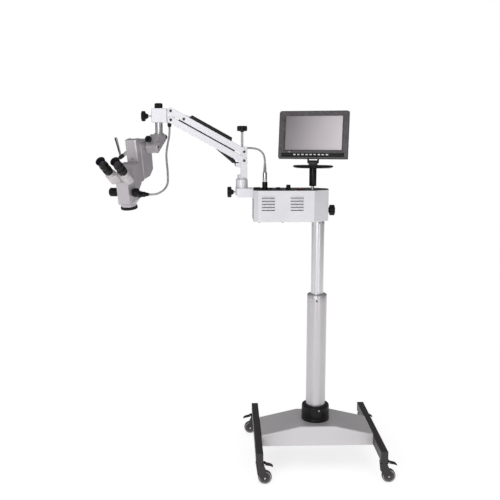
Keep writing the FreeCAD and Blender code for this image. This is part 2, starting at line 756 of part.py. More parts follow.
def bar(web_low, web_from):
    """Channel bar: two cheeks with round ends and one web, along -X from the rear pivot."""
    outer_w = bar_inner_w + 2 * bar_wall
    half = bar_h / 2
    body = block(-arm_len, 0, -outer_w / 2, outer_w / 2, -half, half)
    for x in (0, -arm_len):
        body = body.fuse(rod(vec(x, -outer_w / 2, 0), vec(x, outer_w / 2, 0), bar_h))
    body = body.removeSplitter()
    floor = -half - 1 if not web_low else -half + bar_wall
    ceiling = half + 1 if web_low else half - bar_wall
    body = body.cut(block(-arm_len - 40, 40, -bar_inner_w / 2, bar_inner_w / 2, floor, ceiling))
    body = body.cut(block(-web_from, 40, -bar_inner_w / 2, bar_inner_w / 2, -half - 1, half + 1))
    body = body.cut(block(-arm_len - 40, -arm_len + web_end, -bar_inner_w / 2, bar_inner_w / 2,
                          -half - 1, half + 1))
    return eased(body, 1.2, lambda edge: along(edge, X) and abs(edge.CenterOfMass.y) > outer_w / 2 - 0.1)


def bar_pin(x, n, d):
    """Pivot pin with a low round head on each side of the bar."""
    half = bar_inner_w / 2 + bar_wall
    pin = rod(vec(x, -half, n), vec(x, half, n), d)
    for side in (-1, 1):
        pin = pin.fuse(turned(vec(x, side * half, n), Y * side, [
            (0, pin_head_d / 2), (pin_head_t - 1, pin_head_d / 2), (pin_head_t, pin_head_d / 2 - 1.5)]))
    return pin


def upper_bar():
    body = bar(False, web_start)
    for x, n in ((0, 0), (-arm_len, 0), (-spring_s, spring_n)):
        body = body.cut(rod(vec(x, -40, n), vec(x, 40, n), pin_d))
    return [on_arm(body)]


def lower_bar():
    """The web is left off where the gas spring passes through."""
    body = bar(True, lower_web_start)
    for x in (0, -arm_len):
        body = body.cut(rod(vec(x, -40, 0), vec(x, 40, 0), pin_d))
    return [on_arm(body, lower=True)]


def upper_bar_pins():
    return [on_arm(bar_pin(x, n, pin_d)) for x, n in ((0, 0), (-arm_len, 0), (-spring_s, spring_n))]


def lower_bar_pins():
    return [on_arm(bar_pin(x, 0, pin_d), lower=True) for x in (0, -arm_len)]


def arm_top_cover():
    """Moulded cover along the top of the upper bar, with a wedge at its front."""
    low = bar_h / 2
    half = bar_inner_w / 2 + bar_wall - 3
    wedge = 22.0
    line = [vec(-cover_bar_s0, -half, low), vec(-cover_bar_s0 - 5, -half, low + cover_bar_h),
            vec(-cover_bar_s1 + 6, -half, low + cover_bar_h), vec(-cover_bar_s1, -half, low)]
    lid = prism(line, Y * (2 * half))
    lid = eased(lid, 3.0, lambda edge: edge.CenterOfMass.z > low + 3)
    nose = prism([vec(-cover_bar_s1 - 0.5, -half + 4, low), vec(-cover_bar_s1 - 0.5, -half + 4, low + 9),
                  vec(-cover_bar_s1 - wedge, -half + 4, low)], Y * (2 * half - 8))
    return [on_arm(lid), on_arm(nose)]


def spring_eye():
    """Where the rod's eye sits on the upper bar."""
    angle = math.radians(arm_angle)
    return vec(post_pivot_x - spring_s * math.cos(angle) + spring_n * math.sin(angle), 0,
               post_pivot_z + spring_s * math.sin(angle) + spring_n * math.cos(angle))


def spring_way():
    return (spring_eye() - spring_foot()).normalize()


def spring_rod():
    """Piston rod with the eye that sits on the bar's middle pin."""
    eye = spring_eye()
    body = rod(eye - spring_way() * spring_rod_len, eye, spring_rod_d)
    boss = rod(eye - Y * 6, eye + Y * 6, pin_d + 8)
    return [joined([body, boss]).cut(rod(eye - Y * 7, eye + Y * 7, pin_d + 2 * running))]


def spring_cylinder():
    """Gas cylinder with its foot eye, hollow for the rod."""
    foot = spring_foot()
    way = spring_way()
    start = foot + way * spring_neck
    end = start + way * spring_body_len
    body = turned(start, way, [
        (0, spring_d / 2 - 3), (3, spring_d / 2), (spring_body_len - 3, spring_d / 2),
        (spring_body_len, spring_d / 2 - 2)])
    eye_r = spring_pin_d / 2 + spring_eye_gap
    boss_half = clevis_inner / 2 - 1.5
    boss = rod(foot - Y * boss_half, foot + Y * boss_half, 2 * eye_r + 2 * spring_eye_wall)
    neck = rod(foot + way * eye_r, start + way * 2, spring_rod_d + 2)
    body = joined([body, neck, boss])
    body = body.cut(rod(foot - Y * clevis_inner, foot + Y * clevis_inner, 2 * eye_r))
    bore = rod(foot + way * spring_bore_start, end + way * 2, spring_rod_d + 2 * running)
    return [body.cut(bore)]


def front_pivot(lower=False):
    return vec(post_pivot_x - arm_reach, 0, post_pivot_z + arm_rise - (pivot_gap if lower else 0))


def guide_exit():
    """Where the light guide leaves its gland under the front block."""
    low = front_pivot(lower=True)
    return vec(low.x - 7, -guide_d, block_bottom - gland_drop)


def front_block():
    """Block that the bars hold level: tongue, bored body and the light guide's gland."""
    half = block_w / 2
    body = block(-block_left, -block_right, -half, half, block_bottom, block_top)
    body = eased(body, 4.0, lambda edge: along(edge, Z) or along(edge, Y))
    high = front_pivot()
    low = front_pivot(lower=True)
    tongue = block(-block_right - 12, high.x, -tongue_w / 2, tongue_w / 2, low.z - 8, high.z + 9)
    parts = [body, tongue]
    parts.append(block(high.x - 8, high.x + tongue_r, -tongue_w / 2, tongue_w / 2, low.z, high.z))
    for pivot in (high, low):
        parts.append(rod(pivot - Y * (tongue_w / 2), pivot + Y * (tongue_w / 2), 2 * tongue_r))
    gland = guide_exit()
    parts.append(turned(gland, Z, [
        (0, guide_d * 0.62), (12, guide_d * 0.95), (gland_h, guide_d * 0.95)]))
    solid = joined(parts)
    for pivot in (high, low):
        solid = solid.cut(rod(pivot - Y * 30, pivot + Y * 30, pin_d + 2 * running))
    solid = solid.cut(rod(vec(shaft_x, 0, block_bottom - 1), vec(shaft_x, 0, block_top + 1),
                          shaft_d + 2 * running))
    mid = pinch_z()
    return [solid.cut(rod(vec(-block_left - 5, 0, mid), vec(shaft_x, 0, mid),
                          pinch_screw_d + 2 * running))]


def pinch_z():
    return block_bottom + block_h / 2 - 3


def front_top_knob():
    """Knurled nut that closes the top of the head's shaft."""
    low = block_top + seat_gap
    return [turned(vec(shaft_x, 0, low), Z, [
        (0, 15.5), (2, 17.5), (18, 17.5), (21, 16), (22, 12)])]


def front_side_knob():
    """Star knob with a long tapered hub, on the screw that pinches the shaft."""
    mid = pinch_z()
    hub_x = -block_left - 16
    head_x = hub_x - 11
    shaft = rod(vec(shaft_x - shaft_d / 2 - 1, 0, mid), vec(head_x, 0, mid), pinch_screw_d)
    hub = turned(vec(hub_x, 0, mid), X * -1, [(0, 8), (12, 14)])
    head = lobed_knob(vec(head_x, 0, mid), X * -1, knob_d - 3, knob_h - 6, pinch_screw_d, 1.0, 1.0)
    return [joined([shaft, hub, head])]


def in_yoke(shape):
    """Turns a shape from the yoke's own axes to its place."""
    shape.rotate(ORIGIN, Z, head_yaw)
    shape.translate(vec(shaft_x, 0, 0))
    return shape


def in_head(shape):
    """Moves a shape from the head's own axes, with the tilt hub at zero, to its place."""
    shape.rotate(ORIGIN, X, head_nod)
    shape.translate(vec(0, hub_y, hub_z))
    return in_yoke(shape)


def head_point(x, y, z):
    spot = Part.Vertex(x, y, z)
    in_head(spot)
    return spot.Point


def head_yoke():
    """Swivel shaft, the slanted block under it and the spigot that the housing tilts on."""
    half = yoke_w / 2
    line = [vec(-half, yoke_back, yoke_top), vec(-half, hub_y + 23, yoke_top),
            vec(-half, hub_y - 21, hub_z + 14), vec(-half, hub_y - 15, hub_z - 20),
            vec(-half, hub_y + 7, hub_z - 25), vec(-half, yoke_back, yoke_top - 28)]
    body = prism(line, X * yoke_w)
    body = eased(body, 4.0, lambda edge: along(edge, Y) and edge.CenterOfMass.z > yoke_top - 1)
    hub = rod(vec(-half, hub_y, hub_z), vec(half, hub_y, hub_z), 2 * hub_r)
    disc = rod(vec(half - 1, hub_y, hub_z), vec(half + 3, hub_y, hub_z), 2 * hub_r - 12)
    flange = rod(vec(head_mid_x + housing_w / 2 + seat_gap, hub_y, hub_z), vec(-half + 1, hub_y, hub_z),
                 2 * hub_r - 6)
    spigot = rod(vec(head_mid_x, hub_y, hub_z), vec(-half + 1, hub_y, hub_z), spigot_d)
    shaft = rod(vec(0, 0, yoke_top - 2), vec(0, 0, block_top), shaft_d)
    ring = rod(vec(0, 0, yoke_top - 2), vec(0, 0, yoke_top + 5), shaft_d + 10)
    bosses = [rod(seat - way * 24, seat, shaft_d / 2) for seat, way in (side_knob_seat(), rear_knob_seat())]
    return [in_yoke(joined([body, hub, disc, flange, spigot, shaft, ring] + bosses))]


def side_knob_seat():
    """Seat and direction of the tilt lock, on a boss of the yoke's sloping front."""
    return vec(-6, hub_y - 17, hub_z + 30), vec(0, -1, 0.25).normalize()


def rear_knob_seat():
    return vec(9, yoke_back + 4, yoke_top - 13), Y


def yoke_side_knob():
    """Tilt lock knob on the yoke's sloping front."""
    seat, way = side_knob_seat()
    return [in_yoke(lobed_knob(seat, way, 28.0, 18.0, 7.0, 0.0, 6.0, 8))]


def yoke_rear_knob():
    """Swivel brake knob on the yoke's back."""
    seat, way = rear_knob_seat()
    return [in_yoke(lobed_knob(seat, way, 25.0, 14.0, 7.0, 0.0, 5.0, 8))]


def focus_housing():
    """Casing of the focus drive, bored for the yoke's spigot, with a lid on top."""
    half = housing_w / 2
    left = head_mid_x - half
    line = [vec(left, housing_front, housing_top), vec(left, housing_back, housing_top - 4),
            vec(left, housing_back - 6, housing_low + 24), vec(left, -2, housing_low),
            vec(left, housing_front, housing_low)]
    body = prism(line, X * housing_w)
    body = eased(body, 3.0, lambda edge: not along(edge, X) and edge.CenterOfMass.y > housing_front + 1)
    body = body.cut(rod(vec(head_mid_x - 1, 0, 0), vec(40, 0, 0), spigot_d + 2 * running))
    lid = block(left + 3, left + housing_w - 3, housing_front + 3, housing_back - 5,
                housing_top - 1, housing_top + 4)
    rail = block(head_mid_x - rail_half, head_mid_x + rail_half, housing_front - rail_t, housing_front + 1,
                 housing_low + 12, housing_top - 4)
    return [in_head(joined([body, lid, rail]))]


def slide_plate():
    """Carriage that runs on the housing's rail and carries the optical body."""
    half = slide_w / 2
    mid = head_mid_x + 4
    body = block(mid - half, mid + half, slide_front, housing_front - seat_gap, slide_low, slide_top)
    body = eased(body, 2.5, lambda edge: along(edge, Z))
    groove = block(head_mid_x - rail_half - running, head_mid_x + rail_half + running,
                   housing_front - rail_t - running, housing_front + 1, slide_low - 1, slide_top + 1)
    start, way = lever_seat()
    boss = rod(start - way * 26, start, lever_boss_d)
    return [in_head(joined([body.cut(groove), boss]))]


def scope_body():
    """Optical body: inclined seat for the binocular, drum bores and the lens mount."""
    half = scope_w / 2
    left = head_mid_x - half
    turret = scope_low + 8
    line = [vec(left, slide_front, scope_top), vec(left, scope_brow_y, scope_top),
            vec(left, scope_front, scope_top - (scope_brow_y - scope_front)),
            vec(left, scope_front, scope_low + 19), vec(left, scope_front + 14, turret),
            vec(left, scope_back - 14, turret), vec(left, scope_back, scope_low + 20),
            vec(left, scope_back, inlet_z - 25), vec(left, slide_front, slide_low - 2)]
    body = prism(line, X * scope_w)
    for side in (-1, 1):
        edge_x = head_mid_x + side * half
        low = scope_low - 1
        wedge = prism([vec(edge_x + side, scope_front - 1, low), vec(edge_x - side * 9, scope_front - 1, low),
                       vec(edge_x + side, scope_front + 24, low)], Z * -low)
        body = body.cut(wedge)
        corner = prism([vec(edge_x + side, scope_front - 1, low + 26),
                        vec(edge_x + side, scope_front - 1, low - 16),
                        vec(edge_x - side * 22, scope_front - 1, low - 16)], Y * 100)
        body = body.cut(corner)
    axis = vec(head_mid_x, scope_axis_y, 0)
    body = joined([body, rod(axis + Z * scope_low, axis + Z * (turret + 12), ring_d - 6)])
    body = body.cut(rod(axis + Z * (scope_low - 1), axis + Z * (scope_low + 22), lens_d + 2.0))
    drum_bore = rod(vec(left - 5, mag_y, mag_z), vec(left + scope_w + 5, mag_y, mag_z),
                    mag_spindle_d + 2 * running)
    body = body.cut(drum_bore)
    return [in_head(body)]


def objective():
    """Lens cell that screws up into the body, with its grip ring and the glass."""
    axis = vec(head_mid_x, scope_axis_y, scope_low)
    ring = turned(axis, Z * -1, [(-20, lens_d / 2 + 0.7), (0, lens_d / 2 + 0.7), (0, ring_d / 2 - 1),
                                 (1, ring_d / 2), (ring_h - 1, ring_d / 2), (ring_h, ring_d / 2 - 1.5)])
    ring = ring.cut(rod(axis + Z * 21, axis - Z * (ring_h + 1), lens_d))
    glass = turned(axis, Z * -1, [(-14, lens_d / 2 - 0.05), (-1, lens_d / 2 - 0.05), (0.5, lens_d / 4)])
    return [in_head(ring), in_head(glass)]


def mag_knobs():
    """Magnification drum spindle with a knob on each side."""
    half = scope_w / 2
    spindle = rod(vec(head_mid_x - half - 4, mag_y, mag_z), vec(head_mid_x + half + 4, mag_y, mag_z),
                  mag_spindle_d)
    parts = [spindle]
    for side, length in ((-1, mag_len + 3), (1, mag_len - 5)):
        seat = vec(head_mid_x + side * (half + seat_gap), mag_y, mag_z)
        knob = turned(seat, X * side, [
            (0, mag_d / 2 - 4), (4, mag_d / 2 - 3), (5, mag_d / 2), (length - 3, mag_d / 2),
            (length, mag_d / 2 - 3)])
        flute_r = mag_d / 2 + 0.6
        for i in range(mag_flutes):
            angle = 2 * math.pi * i / mag_flutes
            spot = vec(seat.x, mag_y + flute_r * math.cos(angle), mag_z + flute_r * math.sin(angle))
            knob = knob.cut(rod(spot + X * side * 4, spot + X * side * (length + 1), 3.0))
        parts.append(knob)
    return [in_head(joined(parts))]


def binocular_seat():
    """Distance of the body's inclined face from the place where the sight lines meet the axis."""
    return ((scope_axis_y - scope_brow_y) + (scope_top - inlet_z)) / math.sqrt(2)


def binocular(side):
    """One rhomboid prism housing with its barrel and eyepiece, along its own tilted axis."""
    out = side * eye_spacing / 2
    inlet = side * prism_inlet / 2
    face = binocular_seat() + seat_gap
    wide = eye_barrel_d / 2 + 4
    parts = [rod(vec(out, 0, face), vec(out, 0, face + prism_depth), 2 * wide)]
    narrow = prism_inlet / 2 - 0.6
    parts.append(rod(vec(inlet, 0, face), vec(inlet, 0, face + prism_depth), 2 * narrow))
    lean = math.asin((wide - narrow) / abs(out - inlet)) if wide - narrow < abs(out - inlet) else 0.9
    line = []
    for centre, r in ((out, wide), (inlet, narrow)):
        line.append(vec(centre - side * r * math.sin(lean), r * math.cos(lean), face))
    for centre, r in ((inlet, narrow), (out, wide)):
        line.append(vec(centre - side * r * math.sin(lean), -r * math.cos(lean), face))
    parts.append(prism(line, Z * prism_depth))
    housing = joined(parts)
    housing = eased(housing, 3.0, lambda edge: edge.CenterOfMass.z > face + prism_depth - 0.1)
    low = face + prism_depth
    barrel = turned(vec(out, 0, low), Z, [
        (0, eye_barrel_d / 2 + 2), (5, eye_barrel_d / 2 + 2), (6, eye_barrel_d / 2),
        (eye_barrel_len - 8, eye_barrel_d / 2), (eye_barrel_len - 6, eye_barrel_d / 2 - 2.5),
        (eye_barrel_len, eye_barrel_d / 2 - 2.5)])
    cup_z = low + eye_barrel_len
    cup = turned(vec(out, 0, cup_z), Z, [
        (0, eyecup_d / 2 - 3), (3, eyecup_d / 2 - 1), (eyecup_len - 16, eyecup_d / 2 - 1),
        (eyecup_len - 12, eyecup_d / 2 - 3), (eyecup_len, eyecup_d / 2)])
    cup_top = cup_z + eyecup_len
    cup = cup.cut(rod(vec(out, 0, cup_top - 12), vec(out, 0, cup_top + 1), eyecup_d - 8))
    solids = [housing, joined([barrel, cup])]
    for solid in solids:
        solid.rotate(ORIGIN, X, 45.0)
        solid.translate(vec(head_mid_x, scope_axis_y, inlet_z))
        in_head(solid)
    return solids


def guide_connector():
    """Cone and collar on the body's right side, where the light guide plugs in."""
    seat = vec(head_mid_x + scope_w / 2, connector_y, connector_z)
    return [in_head(turned(seat, X, [
        (0, 14), (14, 14), (16, 11.5), (30, 11.5), (34, 9), (connector_len, guide_d * 0.62)]))]


def connector_tip():
    return head_point(head_mid_x + scope_w / 2 + connector_len, connector_y, connector_z)


def lever_seat():
    """End of the slanting boss on the carriage's left side, and its direction."""
    way = vec(-0.85, 0, -0.53).normalize()
    return vec(head_mid_x + 4 - slide_w / 2, -88, -4) + way * 18, way


def position_lever():
    """Side handle: ring, grip end and a thin upright rod, turning on the boss."""
    seat, way = lever_seat()
    stub = turned(seat, way, [(seat_gap, 7), (8, 7), (8.5, 8.5), (28, 8.5), (31, 6)])
    foot = seat + way * 22
    lever = rod(foot, foot + vec(-0.19, 0, 0.98) * lever_len, lever_d)
    return [in_head(joined([stub, lever]))]


def monitor_pole():
    """Thin steel stub in the lid and the thick black pole on it."""
    top = box_top + lid_t
    stub = rod(vec(pole_x, 0, top), vec(pole_x, 0, top + stub_h + 4), stub_d)
    foot = rod(vec(pole_x, 0, top), vec(pole_x, 0, top + 3), 30.0)
    pole = turned(vec(pole_x, 0, top + stub_h), Z, [
        (0, pole_d / 2 - 1), (1, pole_d / 2), (pole_top - top - stub_h, pole_d / 2)])
    pole = joined([stub, foot, pole])
    socket = rod(vec(pole_x, 0, pole_top - spigot_len - 4), vec(pole_x, 0, pole_top + 1),
                 stand_spigot_d + 2 * running)
    return [pole.cut(socket)]


def on_stand(shape):
    shape.rotate(ORIGIN, Z, monitor_yaw)
    shape.translate(vec(pole_x, 0, 0))
    return shape


def on_monitor(shape):
    """Moves a shape from the monitor's own axes, with the hinge at zero, to its place."""
    shape.rotate(ORIGIN, X, monitor_tilt)
    shape.translate(vec(0, 0, hinge_z))
    return on_stand(shape)


def monitor_stand():
    """Oval dish with a spigot in the pole and the neck that holds the hinge."""
    plate = turned(vec(0, 0, pole_top), Z, [
        (0, stand_depth / 2 - 8), (2, stand_depth / 2 - 3), (6, stand_depth / 2),
        (stand_t - 2, stand_depth / 2 - 1), (stand_t, stand_depth / 2 - 4)])
    stretch = FreeCAD.Matrix()
    stretch.scale(vec(stand_w / stand_depth, 1, 1))
    plate = plate.transformGeometry(stretch)
    neck = block(-neck_w / 2, neck_w / 2, -neck_t / 2, neck_t / 2, pole_top + 4, hinge_z)
    barrel = rod(vec(-neck_w / 2, 0, hinge_z), vec(neck_w / 2, 0, hinge_z), neck_t)
    spigot = rod(vec(0, 0, pole_top - spigot_len), vec(0, 0, pole_top + 1), stand_spigot_d)
    stand = joined([plate, neck, barrel, spigot])
    pin_hole = rod(vec(-neck_w, 0, hinge_z), vec(neck_w, 0, hinge_z), hinge_pin_d + 2 * running)
    return [on_stand(stand.cut(pin_hole))]


def rounded_slab(w, low, high, y0, y1, r):
    slab = block(-w / 2, w / 2, y0, y1, low, high)
    return eased(slab, r, lambda edge: along(edge, Y))


def monitor_case():
    """Rear shell with a tapered back, and the two ears with the hinge pin."""
    low = monitor_lift
    high = low + monitor_h
    joint = -monitor_depth / 2 + bezel_t
    back = monitor_depth / 2
    rim = monitor_outline(joint, low + 1, high - 1, monitor_w - 2)
    step = monitor_outline(joint + 12, low + 2, high - 2, monitor_w - 4)
    rear = monitor_outline(back, low + 22, high - 26, monitor_w - 56)
    shell = Part.makeLoft([rim, step], True, True).fuse(Part.makeLoft([step, rear], True, True))
    inner_rim = monitor_outline(joint - 1, low + 4, high - 4, monitor_w - 8)
    inner_rear = monitor_outline(back - 3, low + 27, high - 31, monitor_w - 66)
    shell = shell.cut(Part.makeLoft([inner_rim, inner_rear], True, True))
    ears = []
    for side in (-1, 1):
        inside = side * (neck_w / 2 + seat_gap)
        outside = side * (neck_w / 2 + ear_w)
        ear = rod(vec(inside, 0, 0), vec(outside, 0, 0), neck_t - 1)
        web = block(min(inside, outside), max(inside, outside),
                    0.5 - neck_t / 2, neck_t / 2 - 0.5, 0, low + 4)
        ears += [ear, web]
    pin = rod(vec(-neck_w / 2 - ear_w, 0, 0), vec(neck_w / 2 + ear_w, 0, 0), hinge_pin_d)
    return [on_monitor(joined([shell] + ears + [pin]))]


def monitor_outline(y, low, high, w):
    return Part.makePolygon([vec(-w / 2, y, low), vec(w / 2, y, low), vec(w / 2, y, high),
                             vec(-w / 2, y, high), vec(-w / 2, y, low)])


def key_places():
    start = key_mid - key_pitch * (key_count - 1) / 2
    return [start + key_pitch * i for i in range(key_count)]


def monitor_bezel():
    """Front frame: screen opening with a sloped edge, and the lip with the key pockets."""
    front = -monitor_depth / 2
    low = monitor_lift
    frame = rounded_slab(monitor_w, low, low + monitor_h, front, front + bezel_t, 12.0)
    frame = eased(frame, 2.5, lambda edge: abs(edge.CenterOfMass.y - front) < 0.01)
    sill = low + screen_low
    opening = monitor_outline(front + 6, sill, sill + screen_h, screen_w)
    mouth = monitor_outline(front - 1, sill - 7, sill + screen_h + 7, screen_w + 14)
    frame = frame.cut(Part.makeLoft([opening, mouth], True, True))
    frame = frame.cut(block(-screen_w / 2, screen_w / 2, front, front + bezel_t + 1, sill, sill + screen_h))
    seat = block(-screen_w / 2 - 5, screen_w / 2 + 5, front + 7, front + bezel_t + 1,
                 sill - 5, sill + screen_h + 5)
    frame = frame.cut(seat)
    key_z = low + key_rise
    lip = rod(vec(-lip_half, front + 4, key_z), vec(lip_half, front + 4, key_z), lip_d)
    lip = lip.common(block(-lip_half, lip_half, front - lip_d, front + 5, low + 2, key_z + lip_d))
    frame = joined([frame, lip])
    for x in key_places():
        frame = frame.cut(block(x - key_w / 2 - key_gap, x + key_w / 2 + key_gap, front - 12, front + 1,
                                key_z - key_h / 2 - key_gap, key_z + key_h / 2 + key_gap))
    return [on_monitor(frame)]


def monitor_screen():
    """Flat panel behind the opening."""
    front = -monitor_depth / 2
    sill = monitor_lift + screen_low
    panel = block(-screen_w / 2 - 4.5, screen_w / 2 + 4.5, front + 7 + seat_gap, front + bezel_t,
                  sill - 4.5, sill + screen_h + 4.5)
    return [on_monitor(panel)]


def monitor_keys():
    """Row of keys in the lip's pockets."""
    front = -monitor_depth / 2
    face = front - 7.6
    key_z = monitor_lift + key_rise
    keys = []
    for x in key_places():
        key = block(x - key_w / 2, x + key_w / 2, face, front - 0.2, key_z - key_h / 2, key_z + key_h / 2)
        keys.append(on_monitor(eased(key, 0.8, lambda edge: abs(edge.CenterOfMass.y - face) < 0.01)))
    return keys


def cord(points, d):
    """A tube along straight runs joined by tangent arcs, and its smallest radius."""
    edges = []
    last = points[0]
    radii = []
    for before, corner, after in zip(points, points[1:], points[2:]):
        back = (before - corner)
        ahead = (after - corner)
        turn = math.pi - back.getAngle(ahead)
        short = min(back.Length, ahead.Length) * 0.45
        radius = short / math.tan(turn / 2)
        radii.append(radius)
        back = back.normalize()
        ahead = ahead.normalize()
        enter = corner + back * short
        leave = corner + ahead * short
        centre_way = (back + ahead).normalize()
        centre = corner + centre_way * (radius / math.cos(turn / 2))
        middle = centre - centre_way * radius
        edges.append(Part.LineSegment(last, enter).toShape())
        edges.append(Part.Arc(enter, middle, leave).toShape())
        last = leave
    edges.append(Part.LineSegment(last, points[-1]).toShape())
    path = Part.Wire(edges)
    start_way = (points[1] - points[0]).normalize()
    ring = Part.Wire(Part.makeCircle(d / 2, points[0], start_way))
    solid = path.makePipeShell([ring], True, False)
    print("radii", [round(r) for r in radii], "length", round(path.Length),
          "volume share", round(solid.Volume / (math.pi * d * d / 4 * path.Length), 4))
    return solid


def guide_rear_points():
    """From the socket's relief up and over into the top of the post."""
    top = box_top + lid_t + socket_h + relief_h
    post_face = post_pivot_x - 1 + post_w / 2
    level = top + guide_rise
    return [vec(socket_x, 0, top), vec(socket_x, 0, top + guide_rise * 0.44),
            vec(socket_x - guide_rise * 0.29, 0, level - guide_rise * 0.15),
            vec(socket_x - guide_rise * 0.76, 0, level), vec(post_face, 0, level)]


def light_guide_rear():
    return [cord(guide_rear_points(), guide_d)]


def light_guide_arm():
    """The stretch inside the upper bar's channel, beside the spring's eye."""
    start = vec(-web_start - 8, guide_side, guide_in_bar)
    end = vec(-arm_len + web_end + 6, guide_side, guide_in_bar)
    return [on_arm(rod(start, end, guide_d))]


def guide_drop_points():
    """From the gland under the front block down and round to the head's connector."""
    start = guide_exit()
    tip = connector_tip()
    drop = start.z - tip.z
    way = head_point(1, 0, 0) - head_point(0, 0, 0)
    hang = [start + vec(x, y, -z) * drop for x, y, z in guide_hang]
    tail = [tip + vec(x, y, z) * guide_d for x, y, z in guide_tail]
    return [start, start - Z * (drop * 0.115)] + hang + tail + [tip + way * (guide_d * 2.9), tip]


def light_guide_drop():
    return [cord(guide_drop_points(), guide_d)]


def assembly():
    """Every node of the microscope, by name, as a list of solids about the column axis."""
    nodes = {
        "base_cover": base_cover(), "base_crossbeam": base_beam(), "base_legs": base_legs(),
        "column_collar": column_collar(), "column_sleeve": column_sleeve(), "column_tube": column_tube()}
    for name, (x, y) in castor_places().items():
        nodes["castor_fork_" + name] = swivelled(castor_fork(x, y), name)
        nodes["castor_wheel_" + name] = swivelled(castor_wheel(x, y), name)
        nodes["castor_pedal_" + name] = swivelled(castor_pedal(x, y), name)
    nodes["console_shell"] = console_shell()
    nodes["console_lid"] = console_lid()
    nodes["console_works"] = console_works()
    nodes["console_fittings"] = console_fittings()
    nodes["power_rocker"] = power_rocker()
    nodes["dimmer_knob"] = dimmer_knob()
    nodes["console_clamp_knob"] = [lobed_knob(
        vec(box_right, 0, clamp_z), X, knob_d, knob_h, knob_shaft_d, 12.0, knob_stand_off)]
    nodes["post_clamp_knob"] = [lobed_knob(
        vec(-bracket_left, 0, post_clamp_z), X * -1, knob_d, knob_h - 5, knob_shaft_d, 13.0, 17.0)]
    nodes["arm_bracket"] = arm_bracket()
    nodes["arm_post"] = arm_post()
    nodes["lift_knob"] = [lobed_knob(
        vec(post_x + lift_rod_x, 0, post_top), Z, knob_d - 1, knob_h - 1, lift_rod_d, lift_rod_in,
        lift_rod_len)]
    nodes["upper_bar"] = upper_bar()
    nodes["lower_bar"] = lower_bar()
    nodes["upper_bar_pins"] = upper_bar_pins()
    nodes["lower_bar_pins"] = lower_bar_pins()
    nodes["arm_top_cover"] = arm_top_cover()
    nodes["spring_rod"] = spring_rod()
    nodes["spring_cylinder"] = spring_cylinder()
    nodes["front_block"] = front_block()
    nodes["front_top_knob"] = front_top_knob()
    nodes["front_side_knob"] = front_side_knob()
    nodes["head_yoke"] = head_yoke()
    nodes["yoke_side_knob"] = yoke_side_knob()
    nodes["yoke_rear_knob"] = yoke_rear_knob()
    nodes["focus_housing"] = focus_housing()
    nodes["slide_plate"] = slide_plate()
    nodes["scope_body"] = scope_body()
    nodes["objective"] = objective()
    nodes["mag_knobs"] = mag_knobs()
    nodes["binocular_left"] = binocular(-1)
    nodes["binocular_right"] = binocular(1)
    nodes["guide_connector"] = guide_connector()
    nodes["position_lever"] = position_lever()
    nodes["monitor_pole"] = monitor_pole()
    nodes["monitor_stand"] = monitor_stand()
    nodes["monitor_case"] = monitor_case()
    nodes["monitor_bezel"] = monitor_bezel()
    nodes["monitor_screen"] = monitor_screen()
    nodes["monitor_keys"] = monitor_keys()
    nodes["light_guide_rear"] = light_guide_rear()
    nodes["light_guide_arm"] = light_guide_arm()
    nodes["light_guide_drop"] = light_guide_drop()
    return nodes


def origin_shift(nodes):
    """The move that puts the origin under the middle of all rigid nodes."""
    solids = [s for name, group in nodes.items() if not name.startswith("light_guide") for s in group]
    bounds = Part.makeCompound(solids).optimalBoundingBox(False, False)
    return vec(-(bounds.XMin + bounds.XMax) / 2, -(bounds.YMin + bounds.YMax) / 2, -bounds.ZMin)


def export(nodes, shift):
    os.makedirs("parts", exist_ok=True)
    for name, solids in nodes.items():
        shape = solids[0].copy() if len(solids) == 1 else Part.makeCompound(solids)
        shape.translate(shift)
        shape.exportStep(os.path.join("parts", name + ".step"))


NODES = assembly()
SHIFT = origin_shift(NODES)
print("origin shift", SHIFT)
export(NODES, SHIFT)
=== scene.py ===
"""Looks of a surgical microscope on a wheeled column stand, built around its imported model."""
import json
import math

import bmesh
import bpy
from mathutils import Matrix, Vector


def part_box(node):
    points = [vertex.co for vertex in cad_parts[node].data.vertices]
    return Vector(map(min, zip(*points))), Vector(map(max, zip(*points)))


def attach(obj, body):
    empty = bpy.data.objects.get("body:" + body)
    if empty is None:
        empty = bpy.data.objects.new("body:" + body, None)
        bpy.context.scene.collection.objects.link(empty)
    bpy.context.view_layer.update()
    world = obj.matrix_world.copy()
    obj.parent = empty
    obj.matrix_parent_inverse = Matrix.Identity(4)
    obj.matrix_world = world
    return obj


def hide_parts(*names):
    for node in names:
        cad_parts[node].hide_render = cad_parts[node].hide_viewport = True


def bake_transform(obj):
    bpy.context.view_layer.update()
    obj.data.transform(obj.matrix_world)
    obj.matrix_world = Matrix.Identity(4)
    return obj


bl_info = {
    "name": "Surgical Microscope",
    "version": (1, 0, 0),
    "blender": (4, 5, 0),
    "location": "View3D > Sidebar > Microscope",
    "description": "Finishes, light guides, knobs, optics and small fittings of a column-stand microscope",
    "category": "Object",
}

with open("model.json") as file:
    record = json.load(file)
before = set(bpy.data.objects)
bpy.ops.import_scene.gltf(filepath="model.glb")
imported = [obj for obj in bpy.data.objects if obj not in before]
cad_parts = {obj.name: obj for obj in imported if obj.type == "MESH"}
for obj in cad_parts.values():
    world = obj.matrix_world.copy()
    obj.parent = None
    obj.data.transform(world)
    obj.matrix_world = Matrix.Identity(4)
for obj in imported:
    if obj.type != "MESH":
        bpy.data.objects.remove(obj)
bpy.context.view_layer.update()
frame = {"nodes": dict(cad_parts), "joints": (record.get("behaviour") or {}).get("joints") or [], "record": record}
NODES = frame["nodes"]
JOINTS = {joint["name"]: joint for joint in frame["joints"]}
BODY_OF = {node: body for body, members in frame["record"]["behaviour"]["bodies"].items()
           for node in members}
SLOT_OF = {part["node"]: part["material_slot"] for part in frame["record"]["subparts"]}

